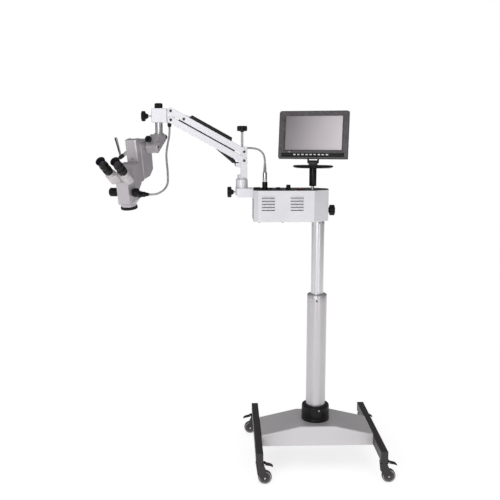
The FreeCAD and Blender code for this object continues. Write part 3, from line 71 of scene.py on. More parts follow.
MM = 0.001
X_AXIS = Vector((1, 0, 0))
Y_AXIS = Vector((0, 1, 0))
Z_AXIS = Vector((0, 0, 1))
CASTORS = ("front_left", "front_right", "rear_left", "rear_right")

# The light guide's routes, from the socket to the post, along the upper bar, and from the
# front block's gland to the head's connector.
REAR_ROUTE = [
    (0.0576, 0.0158, 1.3745), (0.0576, 0.0158, 1.4035), (0.0385, 0.0158, 1.4306),
    (0.0075, 0.0158, 1.4405), (-0.0204, 0.0158, 1.4405)]
ARM_ROUTE = [(-0.0676, 0.0306, 1.4498), (-0.3224, 0.0306, 1.5904)]
DROP_ROUTE = [
    (-0.3569, 0.0068, 1.5300), (-0.3569, 0.0068, 1.4980), (-0.3644, -0.0102, 1.4591),
    (-0.3694, -0.0364, 1.4201), (-0.3656, -0.0683, 1.3859), (-0.3594, -0.1023, 1.3539),
    (-0.3553, -0.1351, 1.3157), (-0.3553, -0.1500, 1.2959), (-0.3652, -0.1621, 1.2757),
    (-0.3841, -0.1671, 1.2608), (-0.4076, -0.1657, 1.2518), (-0.4323, -0.1572, 1.2518)]


def colour_property(name, text, value):
    return bpy.props.FloatVectorProperty(
        name=name, description=text, default=value, subtype="COLOR", size=3, min=0, max=1)


def length_property(name, text, value):
    return bpy.props.FloatProperty(name=name, description=text, default=value, min=0, unit="LENGTH")


class PaintSettings(bpy.types.PropertyGroup):
    """Colours of the paints, plastics and metals."""

    arm: colour_property("Arm", "Pale paint of the arm and console", (0.79, 0.785, 0.83))
    head: colour_property("Head", "Grey-silver paint of the head", (0.50, 0.475, 0.50))
    prism: colour_property("Prism", "Pale silver of the binocular's housings", (0.55, 0.515, 0.53))
    base: colour_property("Base", "Silver paint of the base cover", (0.66, 0.64, 0.655))
    sleeve: colour_property("Sleeve", "Silver paint of the outer column", (0.58, 0.56, 0.58))
    tube: colour_property("Tube", "Finish of the inner column", (0.66, 0.66, 0.68))
    frame: colour_property("Frame", "Brown-black paint of the legs", (0.017, 0.012, 0.012))
    plastic: colour_property("Plastic", "Black plastic of the knobs", (0.005, 0.005, 0.0055))
    sheath: colour_property("Sheath", "Grey sheath of the light guide", (0.26, 0.255, 0.265))
    steel: colour_property("Steel", "Bright steel of pins and screws", (0.62, 0.62, 0.63))


class EdgeSettings(bpy.types.PropertyGroup):
    """How far the edges are broken."""

    casting: length_property("Casting", "Edge rounding of castings", 0.9 * MM)
    sheet: length_property("Sheet", "Edge rounding of folded sheet", 0.7 * MM)
    small: length_property("Small", "Edge rounding of small fittings", 0.3 * MM)
    angle: bpy.props.FloatProperty(
        name="Angle", description="Edges sharper than this are rounded",
        default=math.radians(32), subtype="ANGLE")


class GuideSettings(bpy.types.PropertyGroup):
    """The fibre light guide's sheath."""

    diameter: length_property("Diameter", "Outside diameter of the sheath", 9.0 * MM)
    rib_pitch: length_property("Rib Pitch", "Distance from rib to rib", 3.0 * MM)
    rib_depth: length_property("Rib Depth", "How far the ribs stand out", 0.45 * MM)
    sides: bpy.props.IntProperty(name="Sides", description="Sides round the sheath", default=20, min=8)


class StageSettings(bpy.types.PropertyGroup):
    """Camera, lights and floor."""

    camera: bpy.props.FloatVectorProperty(
        name="Camera", description="Where the camera stands", unit="LENGTH",
        default=(-0.0994, -3.1382, 1.491))
    pitch: bpy.props.FloatProperty(
        name="Pitch", description="How far the camera looks down",
        default=math.radians(9.05), subtype="ANGLE")
    turn: bpy.props.FloatProperty(
        name="Turn", description="How far the camera turns to the right",
        default=math.radians(1.66), subtype="ANGLE")
    lens: bpy.props.FloatProperty(name="Lens", description="Focal length in millimetres", default=51.4)
    key_power: bpy.props.FloatProperty(
        name="Key Power", description="Power of the main soft light", default=62.0, subtype="POWER")
    strip_power: bpy.props.FloatProperty(
        name="Strip Power", description="Power of the narrow light on the right", default=7.0,
        subtype="POWER")
    rim_power: bpy.props.FloatProperty(
        name="Rim Power", description="Power of the narrow light on the left", default=4.0,
        subtype="POWER")
    horizon: bpy.props.FloatProperty(
        name="Horizon", description="Room light from the sides", default=0.06, min=0)
    zenith: bpy.props.FloatProperty(
        name="Zenith", description="Room light from above", default=0.42, min=0)
    floor_size: length_property("Floor Size", "Side of the floor", 16.0)


# Node helpers for materials.

SOCKET_NAMES = {"specular_ior_level": "Specular IOR Level"}


def new_material(name, colour, roughness, metallic=0.0, **sockets):
    """A material with these numbers on its shader's own sockets."""
    made = bpy.data.materials.new(name)
    made.use_nodes = True
    inputs = made.node_tree.nodes["Principled BSDF"].inputs
    inputs["Base Color"].default_value = (*colour, 1.0)
    inputs["Roughness"].default_value = roughness
    inputs["Metallic"].default_value = metallic
    for socket, value in sockets.items():
        inputs[SOCKET_NAMES.get(socket, socket.replace("_", " ").title())].default_value = value
    return made


def add_node(made, kind, **inputs):
    """A node whose inputs are set by name, from numbers or from other nodes' sockets."""
    node = made.node_tree.nodes.new(kind)
    for name, value in inputs.items():
        socket = node.inputs[name.replace("_", " ")]
        if isinstance(value, bpy.types.NodeSocket):
            made.node_tree.links.new(value, socket)
        else:
            socket.default_value = value
    return node


def shader_link(made, value, name):
    made.node_tree.links.new(value, made.node_tree.nodes["Principled BSDF"].inputs[name])


def noise(made, scale, detail=2.0, stretch=(1, 1, 1)):
    """Noise over the piece's own place, with its features 1 / scale metres apart."""
    place = add_node(made, "ShaderNodeTexCoord").outputs["Object"]
    mapped = add_node(made, "ShaderNodeMapping", Vector=place, Scale=stretch)
    texture = add_node(made, "ShaderNodeTexNoise", Vector=mapped.outputs[0], Scale=scale, Detail=detail)
    return texture.outputs[0]


def spread(made, value, low, high, into_low=0.3, into_high=0.7):
    """A value stretched from one range into another."""
    node = add_node(made, "ShaderNodeMapRange", Value=value)
    for name, number in (("From Min", into_low), ("From Max", into_high),
                         ("To Min", low), ("To Max", high)):
        node.inputs[name].default_value = number
    return node.outputs[0]


def two_colours(made, share, first, second):
    """A colour between two, by share."""
    node = made.node_tree.nodes.new("ShaderNodeMix")
    node.data_type = "RGBA"
    made.node_tree.links.new(share, node.inputs[0])
    for socket, value in ((node.inputs[6], first), (node.inputs[7], second)):
        if isinstance(value, bpy.types.NodeSocket):
            made.node_tree.links.new(value, socket)
        else:
            socket.default_value = (*value, 1.0)
    return node.outputs[2]


def shaded(colour, factor):
    return tuple(min(1.0, channel * factor) for channel in colour)


def bump(made, height, distance, under=None):
    """Surface relief of this height in metres, over another relief if one is given."""
    node = add_node(made, "ShaderNodeBump", Height=height, Distance=distance)
    if under is not None:
        made.node_tree.links.new(under, node.inputs["Normal"])
    return node.outputs[0]


def edge_mask(made, width):
    """One on edges sharper than the surface round them, fading over width."""
    soft = add_node(made, "ShaderNodeBevel", Radius=width).outputs[0]
    flat = made.node_tree.nodes.new("ShaderNodeNewGeometry").outputs["Normal"]
    meet = made.node_tree.nodes.new("ShaderNodeVectorMath")
    meet.operation = "DOT_PRODUCT"
    made.node_tree.links.new(soft, meet.inputs[0])
    made.node_tree.links.new(flat, meet.inputs[1])
    return spread(made, meet.outputs["Value"], 1.0, 0.0, 0.86, 0.985)


# Finishes.


def paint_finish(name, colour, roughness=0.42, metallic=0.0, grain=520.0, relief=0.00003, edge_wear_and_highlight=0.25):
    """Baked paint: faint mottling, orange-peel relief, edges paler as rubbed wear and painted highlight."""
    made = new_material(name, colour, roughness, metallic, coat_weight=0.12, coat_roughness=0.3)
    broad = noise(made, 9.0, 3.0)
    fine = noise(made, grain, 3.0)
    mottled = two_colours(made, spread(made, broad, 0, 1), shaded(colour, 0.955), shaded(colour, 1.035))
    specks = two_colours(made, spread(made, fine, 0, 0.5), mottled, shaded(colour, 1.10))
    # Edges paler: partly rubbed wear, partly a painted highlight along every sharp edge.
    edges = spread(made, edge_mask(made, 0.0012), 0.0, edge_wear_and_highlight, 0.1, 1.0)
    shader_link(made, two_colours(made, edges, specks, shaded(colour, 1.35)), "Base Color")
    shader_link(made, spread(made, broad, roughness - 0.05, roughness + 0.07), "Roughness")
    shader_link(made, bump(made, fine, relief, bump(made, noise(made, 60.0), relief * 2)), "Normal")
    return made


def sheet_finish():
    return paint_finish("base_silver_paint", paints().base, 0.40, 0.25, 900.0, 0.00002)


def arm_finish():
    return paint_finish("arm_pale_paint", paints().arm, 0.38, 0.2, 600.0)


def head_finish():
    return paint_finish("head_grey_paint", paints().head, 0.38, 0.4, 700.0, 0.00004)


def legs_finish():
    return paint_finish("leg_black_paint", paints().frame, 0.48, 0.0, 450.0, 0.00008, 0.02)


def drawn_finish(name, colour, roughness, metallic):
    """Drawn tube: streaks along its length under a satin coat."""
    made = new_material(name, colour, roughness, metallic, coat_weight=0.25, coat_roughness=0.18)
    streaks = noise(made, 160.0, 4.0, (1.0, 1.0, 0.012))
    broad = spread(made, noise(made, 6.0), 0, 0.35)
    first = two_colours(made, spread(made, streaks, 0, 1), shaded(colour, 0.93), shaded(colour, 1.05))
    shader_link(made, two_colours(made, broad, first, shaded(colour, 0.9)), "Base Color")
    shader_link(made, spread(made, streaks, roughness - 0.06, roughness + 0.08), "Roughness")
    shader_link(made, bump(made, streaks, 0.000015), "Normal")
    return made


def plastic_finish(name, colour, roughness=0.42, grain=1400.0, relief=0.00003):
    """Moulded plastic: fine spark texture and softly scuffed gloss."""
    made = new_material(name, colour, roughness, specular_ior_level=0.2)
    fine = noise(made, grain)
    scuffs = noise(made, 70.0, 6.0)
    shade = two_colours(made, spread(made, scuffs, 0, 1), colour, shaded(colour, 1.8))
    shader_link(made, shade, "Base Color")
    shader_link(made, spread(made, scuffs, roughness - 0.08, roughness + 0.1), "Roughness")
    shader_link(made, bump(made, fine, relief), "Normal")
    return made


def steel_finish(name, colour, roughness=0.26):
    """Turned or ground steel with fine tool lines."""
    made = new_material(name, colour, roughness, 1.0)
    lines = noise(made, 900.0)
    shade = two_colours(made, spread(made, lines, 0, 1), shaded(colour, 0.85), shaded(colour, 1.1))
    shader_link(made, shade, "Base Color")
    shader_link(made, spread(made, lines, roughness - 0.05, roughness + 0.1), "Roughness")
    shader_link(made, bump(made, lines, 0.00001), "Normal")
    return made


def rubber_finish(name, colour):
    """Rubber with dust worked into it."""
    made = new_material(name, colour, 0.75)
    dust = spread(made, noise(made, 130.0, 5.0), 0, 0.5)
    shader_link(made, two_colours(made, dust, colour, shaded(colour, 2.2)), "Base Color")
    shader_link(made, bump(made, noise(made, 1500.0), 0.00005), "Normal")
    return made


def glass_finish(name, colour):
    """Coated lens over a dark barrel."""
    return new_material(name, colour, 0.04, coat_weight=1.0, coat_roughness=0.02)


def screen_finish():
    """Unlit panel: dark grey-lilac under a painted reflection, lighter towards one side and the bottom."""
    made = new_material("screen_panel", (0.2, 0.19, 0.2), 0.4, specular_ior_level=0.15)
    place = add_node(made, "ShaderNodeTexCoord").outputs["Object"]
    low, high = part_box("monitor_screen")
    split = add_node(made, "ShaderNodeSeparateXYZ", Vector=place)
    # Painted reflection: lighter towards +X and towards the bottom of the panel.
    reflection_across = spread(made, split.outputs[0], 0.0, 0.85, low.x, high.x)
    down = spread(made, split.outputs[2], 0.15, 0.0, low.z, high.z)
    total = made.node_tree.nodes.new("ShaderNodeMath")
    made.node_tree.links.new(reflection_across, total.inputs[0])
    made.node_tree.links.new(down, total.inputs[1])
    # Painted reflection: soft clouds of pale grey over the panel.
    reflection_streaks = two_colours(made, spread(made, noise(made, 7.0, 1.0), 0, 0.3), (0, 0, 0), (1, 1, 1))
    painted_reflection = two_colours(made, total.outputs[0], (0.14, 0.13, 0.14), (0.95, 0.88, 0.92))
    shader_link(made, two_colours(made, reflection_streaks, painted_reflection, (0.45, 0.42, 0.44)), "Base Color")
    return made


FINISHES = {
    "sheet": sheet_finish,
    "arm": arm_finish,
    "head": head_finish,
    "legs": legs_finish,
    "sleeve": lambda: drawn_finish("sleeve_silver_paint", paints().sleeve, 0.38, 0.85),
    "tube": lambda: drawn_finish("inner_tube_silver", paints().tube, 0.30, 0.9),
    "plastic": lambda: plastic_finish("knob_black_plastic", paints().plastic, 0.34),
    "gloss": lambda: plastic_finish("gloss_black_plastic", paints().plastic, 0.24, 900.0, 0.000012),
    "bezel": lambda: plastic_finish("bezel_grey_plastic", (0.075, 0.07, 0.074), 0.33, 1100.0, 0.00002),
    "case": lambda: plastic_finish("case_black_plastic", (0.014, 0.014, 0.015), 0.5, 900.0, 0.00006),
    "anodised": lambda: plastic_finish(
        "black_anodised_metal", (0.004, 0.004, 0.0045), 0.26, 1800.0, 0.00001),
    "steel": lambda: steel_finish("bright_steel", paints().steel),
    "nickel": lambda: steel_finish("satin_nickel", (0.55, 0.55, 0.56), 0.34),
    "blued": lambda: steel_finish("black_oxide_steel", (0.03, 0.03, 0.032), 0.35),
    "iron": lambda: paint_finish("iron_primer", (0.05, 0.05, 0.052), 0.6, 0.0, 300.0, 0.0002, 0.05),
    "works": lambda: paint_finish("works_grey_metal", (0.3, 0.3, 0.3), 0.5, 0.4, 500.0),
    "tyre": lambda: rubber_finish("tyre_rubber", (0.055, 0.053, 0.053)),
    "eyecup": lambda: rubber_finish("eyecup_rubber", (0.006, 0.006, 0.0065)),
    "wheel": lambda: plastic_finish("wheel_grey_nylon", (0.50, 0.48, 0.48), 0.45),
    "sheath": lambda: plastic_finish("sheath_grey", paints().sheath, 0.4, 700.0, 0.00002),
    "lens": lambda: glass_finish("coated_lens", (0.012, 0.006, 0.022)),
    "screen": screen_finish,
    "red": lambda: new_material("red_rocker", (0.42, 0.012, 0.01), 0.22, coat_weight=0.5),
    "keys": lambda: plastic_finish("key_silver_plastic", (0.62, 0.62, 0.64), 0.35),
    "prism": lambda: paint_finish("prism_silver_paint", paints().prism, 0.32, 0.35, 900.0, 0.00002),
    "white": lambda: new_material("white_marking", (0.75, 0.75, 0.75), 0.5),
    "mark": lambda: new_material("faint_marking", (0.2, 0.2, 0.2), 0.5),
    # Near-black for unlit insides: painted shade in slots and gaps, and a dark joint line.
    "dark": lambda: new_material("unlit_inside", (0.008, 0.008, 0.008), 0.8),
}
MADE = {}


def finish(name):
    if name not in MADE:
        MADE[name] = FINISHES[name]()
    return MADE[name]


def paints():
    return bpy.context.scene.microscope_paints


def edges():
    return bpy.context.scene.microscope_edges


def guides():
    return bpy.context.scene.microscope_guides


def stage():
    return bpy.context.scene.microscope_stage


# Places and frames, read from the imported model.


def joint_frame(name):
    """A joint's place with its axis as Z."""
    return axis_frame(Vector(JOINTS[name]["pos_m"]), Vector(JOINTS[name]["axis"]))


def axis_frame(place, axis, x_hint=X_AXIS):
    """A place and turn whose Z runs along the axis and whose X lies near x_hint."""
    z = axis.normalized()
    if abs(z.dot(x_hint)) > 0.95:
        x_hint = Y_AXIS
    y = z.cross(x_hint).normalized()
    x = y.cross(z)
    made = Matrix((x, y, z)).transposed().to_4x4()
    made.translation = place
    return made


def head_frame():
    """The head's own frame: X along the tilt hub, Z up its focus slide."""
    tilt = JOINTS["head_tilt"]
    return axis_frame(Vector(tilt["pos_m"]), Vector(JOINTS["focus_slide"]["axis"]), Vector(tilt["axis"]))


def monitor_frame():
    """The monitor's own frame: X along its hinge, Y into its case."""
    hinge = JOINTS["monitor_tilt"]
    x = Vector(hinge["axis"])
    z = x.cross(Vector(JOINTS["monitor_key_press"]["axis"]))
    return axis_frame(Vector(hinge["pos_m"]), z, x)


def points_in(node, place):
    """A node's vertices in a frame of its own."""
    turn = place.inverted()
    return [turn @ vertex.co for vertex in NODES[node].data.vertices]


def corners_of(points):
    """The lowest and highest corners of some points."""
    low = Vector([min(point[k] for point in points) for k in range(3)])
    high = Vector([max(point[k] for point in points) for k in range(3)])
    return low, high


def box_in(node, place):
    """A node's lowest and highest corners in a frame of its own."""
    return corners_of(points_in(node, place))


def end_centre(node, place):
    """The middle of the face at the top of a node, in the frame."""
    points = points_in(node, place)
    top = max(point.z for point in points)
    low, high = corners_of([point for point in points if point.z > top - 0.5 * MM])
    return Vector(((low.x + high.x) / 2, (low.y + high.y) / 2, top))


# Mesh helpers.


def smooth_by_angle(mesh, angle):
    mesh.shade_smooth()
    mesh.set_sharp_from_angle(angle=angle)


def new_object(name, mesh, *materials):
    made = bpy.data.objects.new(name, mesh)
    for made_material in materials:
        mesh.materials.append(made_material)
    bpy.context.scene.collection.objects.link(made)
    return made


def settle(made):
    """Turns an object's modifiers into its plain mesh."""
    graph = bpy.context.evaluated_depsgraph_get()
    mesh = bpy.data.meshes.new_from_object(made.evaluated_get(graph), depsgraph=graph)
    made.modifiers.clear()
    if made.type == "MESH":
        old = made.data
        made.data = mesh
        bpy.data.meshes.remove(old)
        return made
    name = made.name
    bpy.data.objects.remove(made)
    return new_object(name, mesh)


def piece(name, bm, body, material, replaces=(), slot=None, edge=0.0, second=None):
    """A finished piece from a bmesh: edges rounded, riding on its body, in place of CAD nodes."""
    mesh = bpy.data.meshes.new(name)
    bmesh.ops.recalc_face_normals(bm, faces=bm.faces)
    bm.to_mesh(mesh)
    bm.free()
    smooth_by_angle(mesh, edges().angle)
    made = new_object(name, mesh, material, *([second] if second else []))
    if edge > 0:
        soften(made, edge)
        settle(made)
    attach(made, body)
    if replaces:
        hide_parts(*replaces)
        slot = slot or SLOT_OF[replaces[0]]
    return made


def soften(made, width):
    bevel = made.modifiers.new("Rounded edges", "BEVEL")
    bevel.width = width
    bevel.segments = 2
    bevel.limit_method = "ANGLE"
    bevel.angle_limit = edges().angle
    bevel.use_clamp_overlap = False
    normals = made.modifiers.new("Flat faces", "WEIGHTED_NORMAL")
    normals.keep_sharp = True
    normals.weight = 60


def merged(node, wanted=None):
    """A node's triangles joined, with its flat faces made whole."""
    bm = bmesh.new()
    bm.from_mesh(NODES[node].data)
    bmesh.ops.remove_doubles(bm, verts=bm.verts, dist=1e-6)
    if wanted:
        unwanted = [vert for group in islands(bm) for vert in group if not wanted(group)]
        bmesh.ops.delete(bm, geom=unwanted, context="VERTS")
    bmesh.ops.dissolve_limit(bm, angle_limit=math.radians(0.6), verts=bm.verts, edges=bm.edges)
    return bm


def islands(bm):
    """Groups of joined vertices."""
    left = set(bm.verts)
    groups = []
    while left:
        group = [left.pop()]
        for vert in group:
            for edge in vert.link_edges:
                other = edge.other_vert(vert)
                if other in left:
                    left.remove(other)
                    group.append(other)
        groups.append(group)
    return groups


def refined(node, material, edge):
    """The node's own shape with its edges broken, in place of the plain node."""
    return piece(node + "_finished", merged(node), BODY_OF[node], material, (node,), edge=edge)


def marked(bm, wanted):
    """Gives the second finish to the faces whose middle passes the test."""
    for face in bm.faces:
        if wanted(face.calc_center_median()):
            face.material_index = 1
    return bm


def cut_corner(bm, place, first, second, third):
    """Cuts off what lies outside the plane through three points of a frame, and closes it."""
    a, b, c = (place @ Vector(point) for point in (first, second, third))
    away = (b - a).cross(c - a).normalized()
    middle = sum((vert.co for vert in bm.verts), Vector()) / len(bm.verts)
    if (middle - a).dot(away) > 0:
        away = -away
    cut = bmesh.ops.bisect_plane(bm, geom=bm.verts[:] + bm.edges[:] + bm.faces[:], plane_co=a,
                                 plane_no=away, clear_outer=True)
    rim = [item for item in cut["geom_cut"] if isinstance(item, bmesh.types.BMEdge)]
    bmesh.ops.edgeloop_fill(bm, edges=rim)


def painted(node, material):
    """The node itself, with a finish."""
    mesh = NODES[node].data
    mesh.materials.clear()
    mesh.materials.append(material)


def ring_of(bm, place, distance, radius, steps, shape=None):
    """Vertices round the frame's Z, their radius changed by a function of the angle."""
    verts = []
    for i in range(steps):
        angle = 2 * math.pi * i / steps
        r = radius * (shape(angle) if shape else 1.0)
        verts.append(bm.verts.new(place @ Vector((r * math.cos(angle), r * math.sin(angle), distance))))
    return verts


def in_mm(profile):
    """(distance, radius) pairs given in millimetres. A third number is a share and stays."""
    return [(distance * MM, radius * MM, *share) for distance, radius, *share in profile]


def rings_of(bm, place, profile, steps, shape):
    """A ring of vertices for each (distance, radius) pair. A third number is how much of the
    shape function the ring takes."""
    rings = []
    for distance, radius, *share in profile:
        wave = (lambda angle, k=share[0]: 1 + k * (shape(angle) - 1)) if shape and share else None
        rings.append(ring_of(bm, place, distance, radius, steps, wave))
    return rings


def skin(bm, rings):
    """Faces between each ring and the next."""
    for first, second in zip(rings, rings[1:]):
        for i in range(len(first)):
            j = (i + 1) % len(first)
            bm.faces.new((first[i], first[j], second[j], second[i]))


def lathe(bm, place, profile, steps=72, shape=None):
    """A closed solid of revolution."""
    rings = rings_of(bm, place, profile, steps, shape)
    skin(bm, rings)
    bm.faces.new(list(reversed(rings[0])))
    bm.faces.new(rings[-1])
    return bm


def lathe_open(bm, place, profile, steps, shape=None):
    """A ring-shaped solid of revolution: the profile is closed on itself."""
    rings = rings_of(bm, place, profile, steps, shape)
    skin(bm, rings + rings[:1])
    return bm


def slab(bm, place, low, high):
    """A box between two corners of a frame."""
    corners = [bm.verts.new(place @ Vector((x, y, z)))
               for z in (low[2], high[2]) for y in (low[1], high[1]) for x in (low[0], high[0])]
    for face in ((0, 2, 3, 1), (4, 5, 7, 6), (0, 1, 5, 4), (2, 6, 7, 3), (0, 4, 6, 2), (1, 3, 7, 5)):
        bm.faces.new([corners[i] for i in face])
    return bm


# Geometry Nodes helpers.

SOCKETS = {"length": "NodeSocketFloat", "number": "NodeSocketFloat", "count": "NodeSocketInt",
           "object": "NodeSocketObject", "material": "NodeSocketMaterial"}


def new_tree(name, inputs):
    """An empty tree with a geometry input and output and these named inputs."""
    tree = bpy.data.node_groups.new(name, "GeometryNodeTree")
    tree.interface.new_socket("Geometry", in_out="INPUT", socket_type="NodeSocketGeometry")
    for label, kind, value in inputs:
        socket = tree.interface.new_socket(label, in_out="INPUT", socket_type=SOCKETS[kind])
        if value is not None:
            socket.default_value = value
    tree.interface.new_socket("Geometry", in_out="OUTPUT", socket_type="NodeSocketGeometry")
    source = tree.nodes.new("NodeGroupInput")
    target = tree.nodes.new("NodeGroupOutput")
    return tree, source, target


def tree_node(tree, kind, inputs=(), **settings):
    """A node of the tree: settings are its own, inputs are (name or index, value or socket)."""
    node = tree.nodes.new(kind)
    for key, value in settings.items():
        setattr(node, key, value)
    for key, value in inputs:
        socket = node.inputs[key]
        if isinstance(value, bpy.types.NodeSocket):
            tree.links.new(value, socket)
        else:
            socket.default_value = value
    return node


def end_tree(tree, geometry, material, target):
    """Every tree ends in real geometry with its material."""
    real = tree_node(tree, "GeometryNodeRealizeInstances", [(0, geometry)])
    coated = tree_node(tree, "GeometryNodeSetMaterial", [(0, real.outputs[0]), ("Material", material)])
    tree.links.new(coated.outputs[0], target.inputs[0])
    return tree


def run_tree(made, tree, **values):
    """Puts a tree on an object, sets its inputs and turns the result into a plain mesh."""
    modifier = made.modifiers.new(tree.name, "NODES")
    modifier.node_group = tree
    for item in tree.interface.items_tree:
        key = item.name.lower().replace(" ", "_")
        if item.item_type == "SOCKET" and item.in_out == "INPUT" and key in values:
            modifier[item.identifier] = values[key]
    return settle(made)


def tree_math(tree, operation, *values):
    """The result of one sum on numbers or sockets."""
    return tree_node(tree, "ShaderNodeMath", enumerate(values), operation=operation).outputs[0]


def ribbed_tree():
    """A tube along a curve whose radius rises and falls once every pitch."""
    tree, source, target = new_tree("Ribbed Sheath", [
        ("Diameter", "length", 0.009), ("Rib Pitch", "length", 0.003), ("Rib Depth", "length", 0.0004),
        ("Sides", "count", 20), ("Material", "material", None)])
    pitch = source.outputs["Rib Pitch"]
    rings_per_rib = 6.0
    step = tree_math(tree, "DIVIDE", pitch, rings_per_rib)
    line = tree_node(tree, "GeometryNodeResampleCurve", [
        ("Curve", source.outputs["Geometry"]), ("Length", step)], mode="LENGTH")
    length = tree_node(tree, "GeometryNodeSplineParameter").outputs["Length"]
    angle = tree_math(tree, "MULTIPLY", tree_math(tree, "DIVIDE", length, pitch), 2 * math.pi)
    depth = tree_math(tree, "MULTIPLY", source.outputs["Rib Depth"], -0.5)
    rise = tree_math(tree, "MULTIPLY", tree_math(tree, "COSINE", angle), depth)
    half = tree_math(tree, "MULTIPLY", source.outputs["Diameter"], 0.5)
    radius = tree_math(tree, "ADD", half, tree_math(tree, "ADD", rise, depth))
    ring = tree_node(tree, "GeometryNodeCurvePrimitiveCircle", [
        ("Resolution", source.outputs["Sides"]), ("Radius", 1.0)])
    tube = tree_node(tree, "GeometryNodeCurveToMesh", [
        ("Curve", line.outputs[0]), ("Profile Curve", ring.outputs[0]), ("Scale", radius),
        ("Fill Caps", True)])
    return end_tree(tree, tube.outputs[0], source.outputs["Material"], target)


def fitting_tree():
    """Copies of a small fitting on points, each turned along its point's facing."""
    tree, source, target = new_tree("Fittings on Points", [
        ("Fitting", "object", None), ("Size", "number", 1.0), ("Material", "material", None)])
    shape = tree_node(tree, "GeometryNodeObjectInfo", [("Object", source.outputs["Fitting"])])
    facing = tree_node(tree, "GeometryNodeInputNamedAttribute", [("Name", "facing")],
                       data_type="FLOAT_VECTOR")
    turned = tree_node(tree, "FunctionNodeAlignRotationToVector", [("Vector", facing.outputs[0])], axis="Z")
    copies = tree_node(tree, "GeometryNodeInstanceOnPoints", [
        ("Points", source.outputs["Geometry"]), ("Instance", shape.outputs["Geometry"]),
        ("Rotation", turned.outputs[0]), ("Scale", source.outputs["Size"])])
    return end_tree(tree, copies.outputs[0], source.outputs["Material"], target)


TREES = {}


def tree(name):
    if name not in TREES:
        TREES[name] = {"ribbed": ribbed_tree, "fitting": fitting_tree}[name]()
    return TREES[name]


SCREW_SIDES = 24


def template(name, bm):
    """A small shape that trees copy. It is removed once its copies are real."""
    mesh = bpy.data.meshes.new(name)
    bmesh.ops.recalc_face_normals(bm, faces=bm.faces)
    bm.to_mesh(mesh)
    bm.free()
    smooth_by_angle(mesh, math.radians(35))
    return new_object(name, mesh)


def socket_screw(diameter, head, socket):
    """Round head with a hexagon socket, its seat at zero and its top along Z."""
    r, flat = diameter / 2, socket / 2
    sixth = math.pi / 3

    def hexagon(angle):
        return 1 / math.cos((angle + sixth / 2) % sixth - sixth / 2)
    profile = [(-0.3 * MM, r * 0.96), (0.1 * MM, r), (head * 0.75, r), (head, r * 0.86),
               (head, flat * 1.16), (head - 0.2 * MM, flat, 1), (head * 0.35, flat, 1)]
    return lathe(bmesh.new(), Matrix.Identity(4), profile, SCREW_SIDES, hexagon)


def cross_screw(diameter, head):
    """Low domed head with a cross recess."""
    r = diameter / 2
    profile = [(-0.3 * MM, r), (head * 0.45, r), (head * 0.85, r * 0.78), (head, r * 0.52, 1),
               (head * 0.25, r * 0.40, 1)]
    return lathe(bmesh.new(), Matrix.Identity(4), profile, SCREW_SIDES,
                 lambda angle: 0.42 + 0.58 * abs(math.cos(2 * angle)) ** 3)


def fittings(name, bm, seats, body, material):
    """Copies of a small shape on (place, facing) seats, as one piece on one body."""
    shape = template(name + "_shape", bm)
    mesh = bpy.data.meshes.new(name)
    mesh.from_pydata([place for place, _ in seats], [], [])
    facing = mesh.attributes.new("facing", "FLOAT_VECTOR", "POINT")
    for item, (_, way) in zip(facing.data, seats):
        item.vector = way.normalized()
    made = new_object(name, mesh)
    run_tree(made, tree("fitting"), fitting=shape, material=material)
    smooth_by_angle(made.data, math.radians(35))
    bpy.data.objects.remove(shape)
    if "facing" in made.data.attributes:
        made.data.attributes.remove(made.data.attributes["facing"])
    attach(made, body)
    return made


# Light guide.


def route_curve(name, route):
    """A smooth curve with the route's points as its control points."""
    curve = bpy.data.curves.new(name, "CURVE")
    curve.dimensions = "3D"
    curve.resolution_u = 24
    spline = curve.splines.new("NURBS")
    spline.points.add(len(route) - 1)
    for point, place in zip(spline.points, route):
        point.co = (*place, 1.0)
    spline.order_u = 3
    spline.use_endpoint_u = True
    return curve


def route_line(route):
    """Points along the route's smooth curve."""
    probe = bpy.data.objects.new("route_probe", route_curve("route_probe", route))
    mesh = bpy.data.meshes.new_from_object(probe)
    line = [vertex.co.copy() for vertex in mesh.vertices]
    bpy.data.meshes.remove(mesh)
    bpy.data.curves.remove(probe.data)
    return line


def line_length(line):
    return sum((b - a).length for a, b in zip(line, line[1:]))


def sheath(name, line):
    """Ribbed sheath along a line of points."""
    curve = bpy.data.curves.new(name, "CURVE")
    curve.dimensions = "3D"
    spline = curve.splines.new("POLY")
    spline.points.add(len(line) - 1)
    for point, place in zip(spline.points, line):
        point.co = (*place, 1.0)
    made = bpy.data.objects.new(name, curve)
    bpy.context.scene.collection.objects.link(made)
    size = guides()
    made = run_tree(made, tree("ribbed"), diameter=size.diameter, rib_pitch=size.rib_pitch,
                    rib_depth=size.rib_depth, sides=size.sides, material=finish("sheath"))
    made.data.shade_smooth()
    return made


def cut_line(line, shares):
    """The line in stretches that end at these shares of its length."""
    total = line_length(line)
    stretches = []
    current = [line[0]]
    run = 0.0
    marks = [share * total for share in shares]
    for a, b in zip(line, line[1:]):
        step = (b - a).length
        while marks and run + step >= marks[0]:
            cut = a.lerp(b, (marks[0] - run) / step)
            current.append(cut)
            stretches.append(current)
            current = [cut]
            marks.pop(0)
        current.append(b)
        run += step
    stretches.append(current)
    return stretches


def scallops(count, depth, half):
    """A round outline with this many soft hollows."""
    period = 2 * math.pi / count

    def share(angle):
        away = abs((angle + period / 2) % period - period / 2)
        return 1 - depth * (0.5 + 0.5 * math.cos(math.pi * away / half)) if away < half else 1.0
    return share


def flutes(count, depth):
    """A round outline with fine teeth."""
    return lambda angle: 1 - depth * (0.5 + 0.5 * math.cos(count * angle))


def reach_in(node, place):
    """The largest distance of a node from a frame's Z axis."""
    return max(math.hypot(*point.xy) for point in points_in(node, place))


def stand_frame():
    low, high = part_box("column_tube")
    return Vector(((low.x + high.x) / 2, (low.y + high.y) / 2, 0))


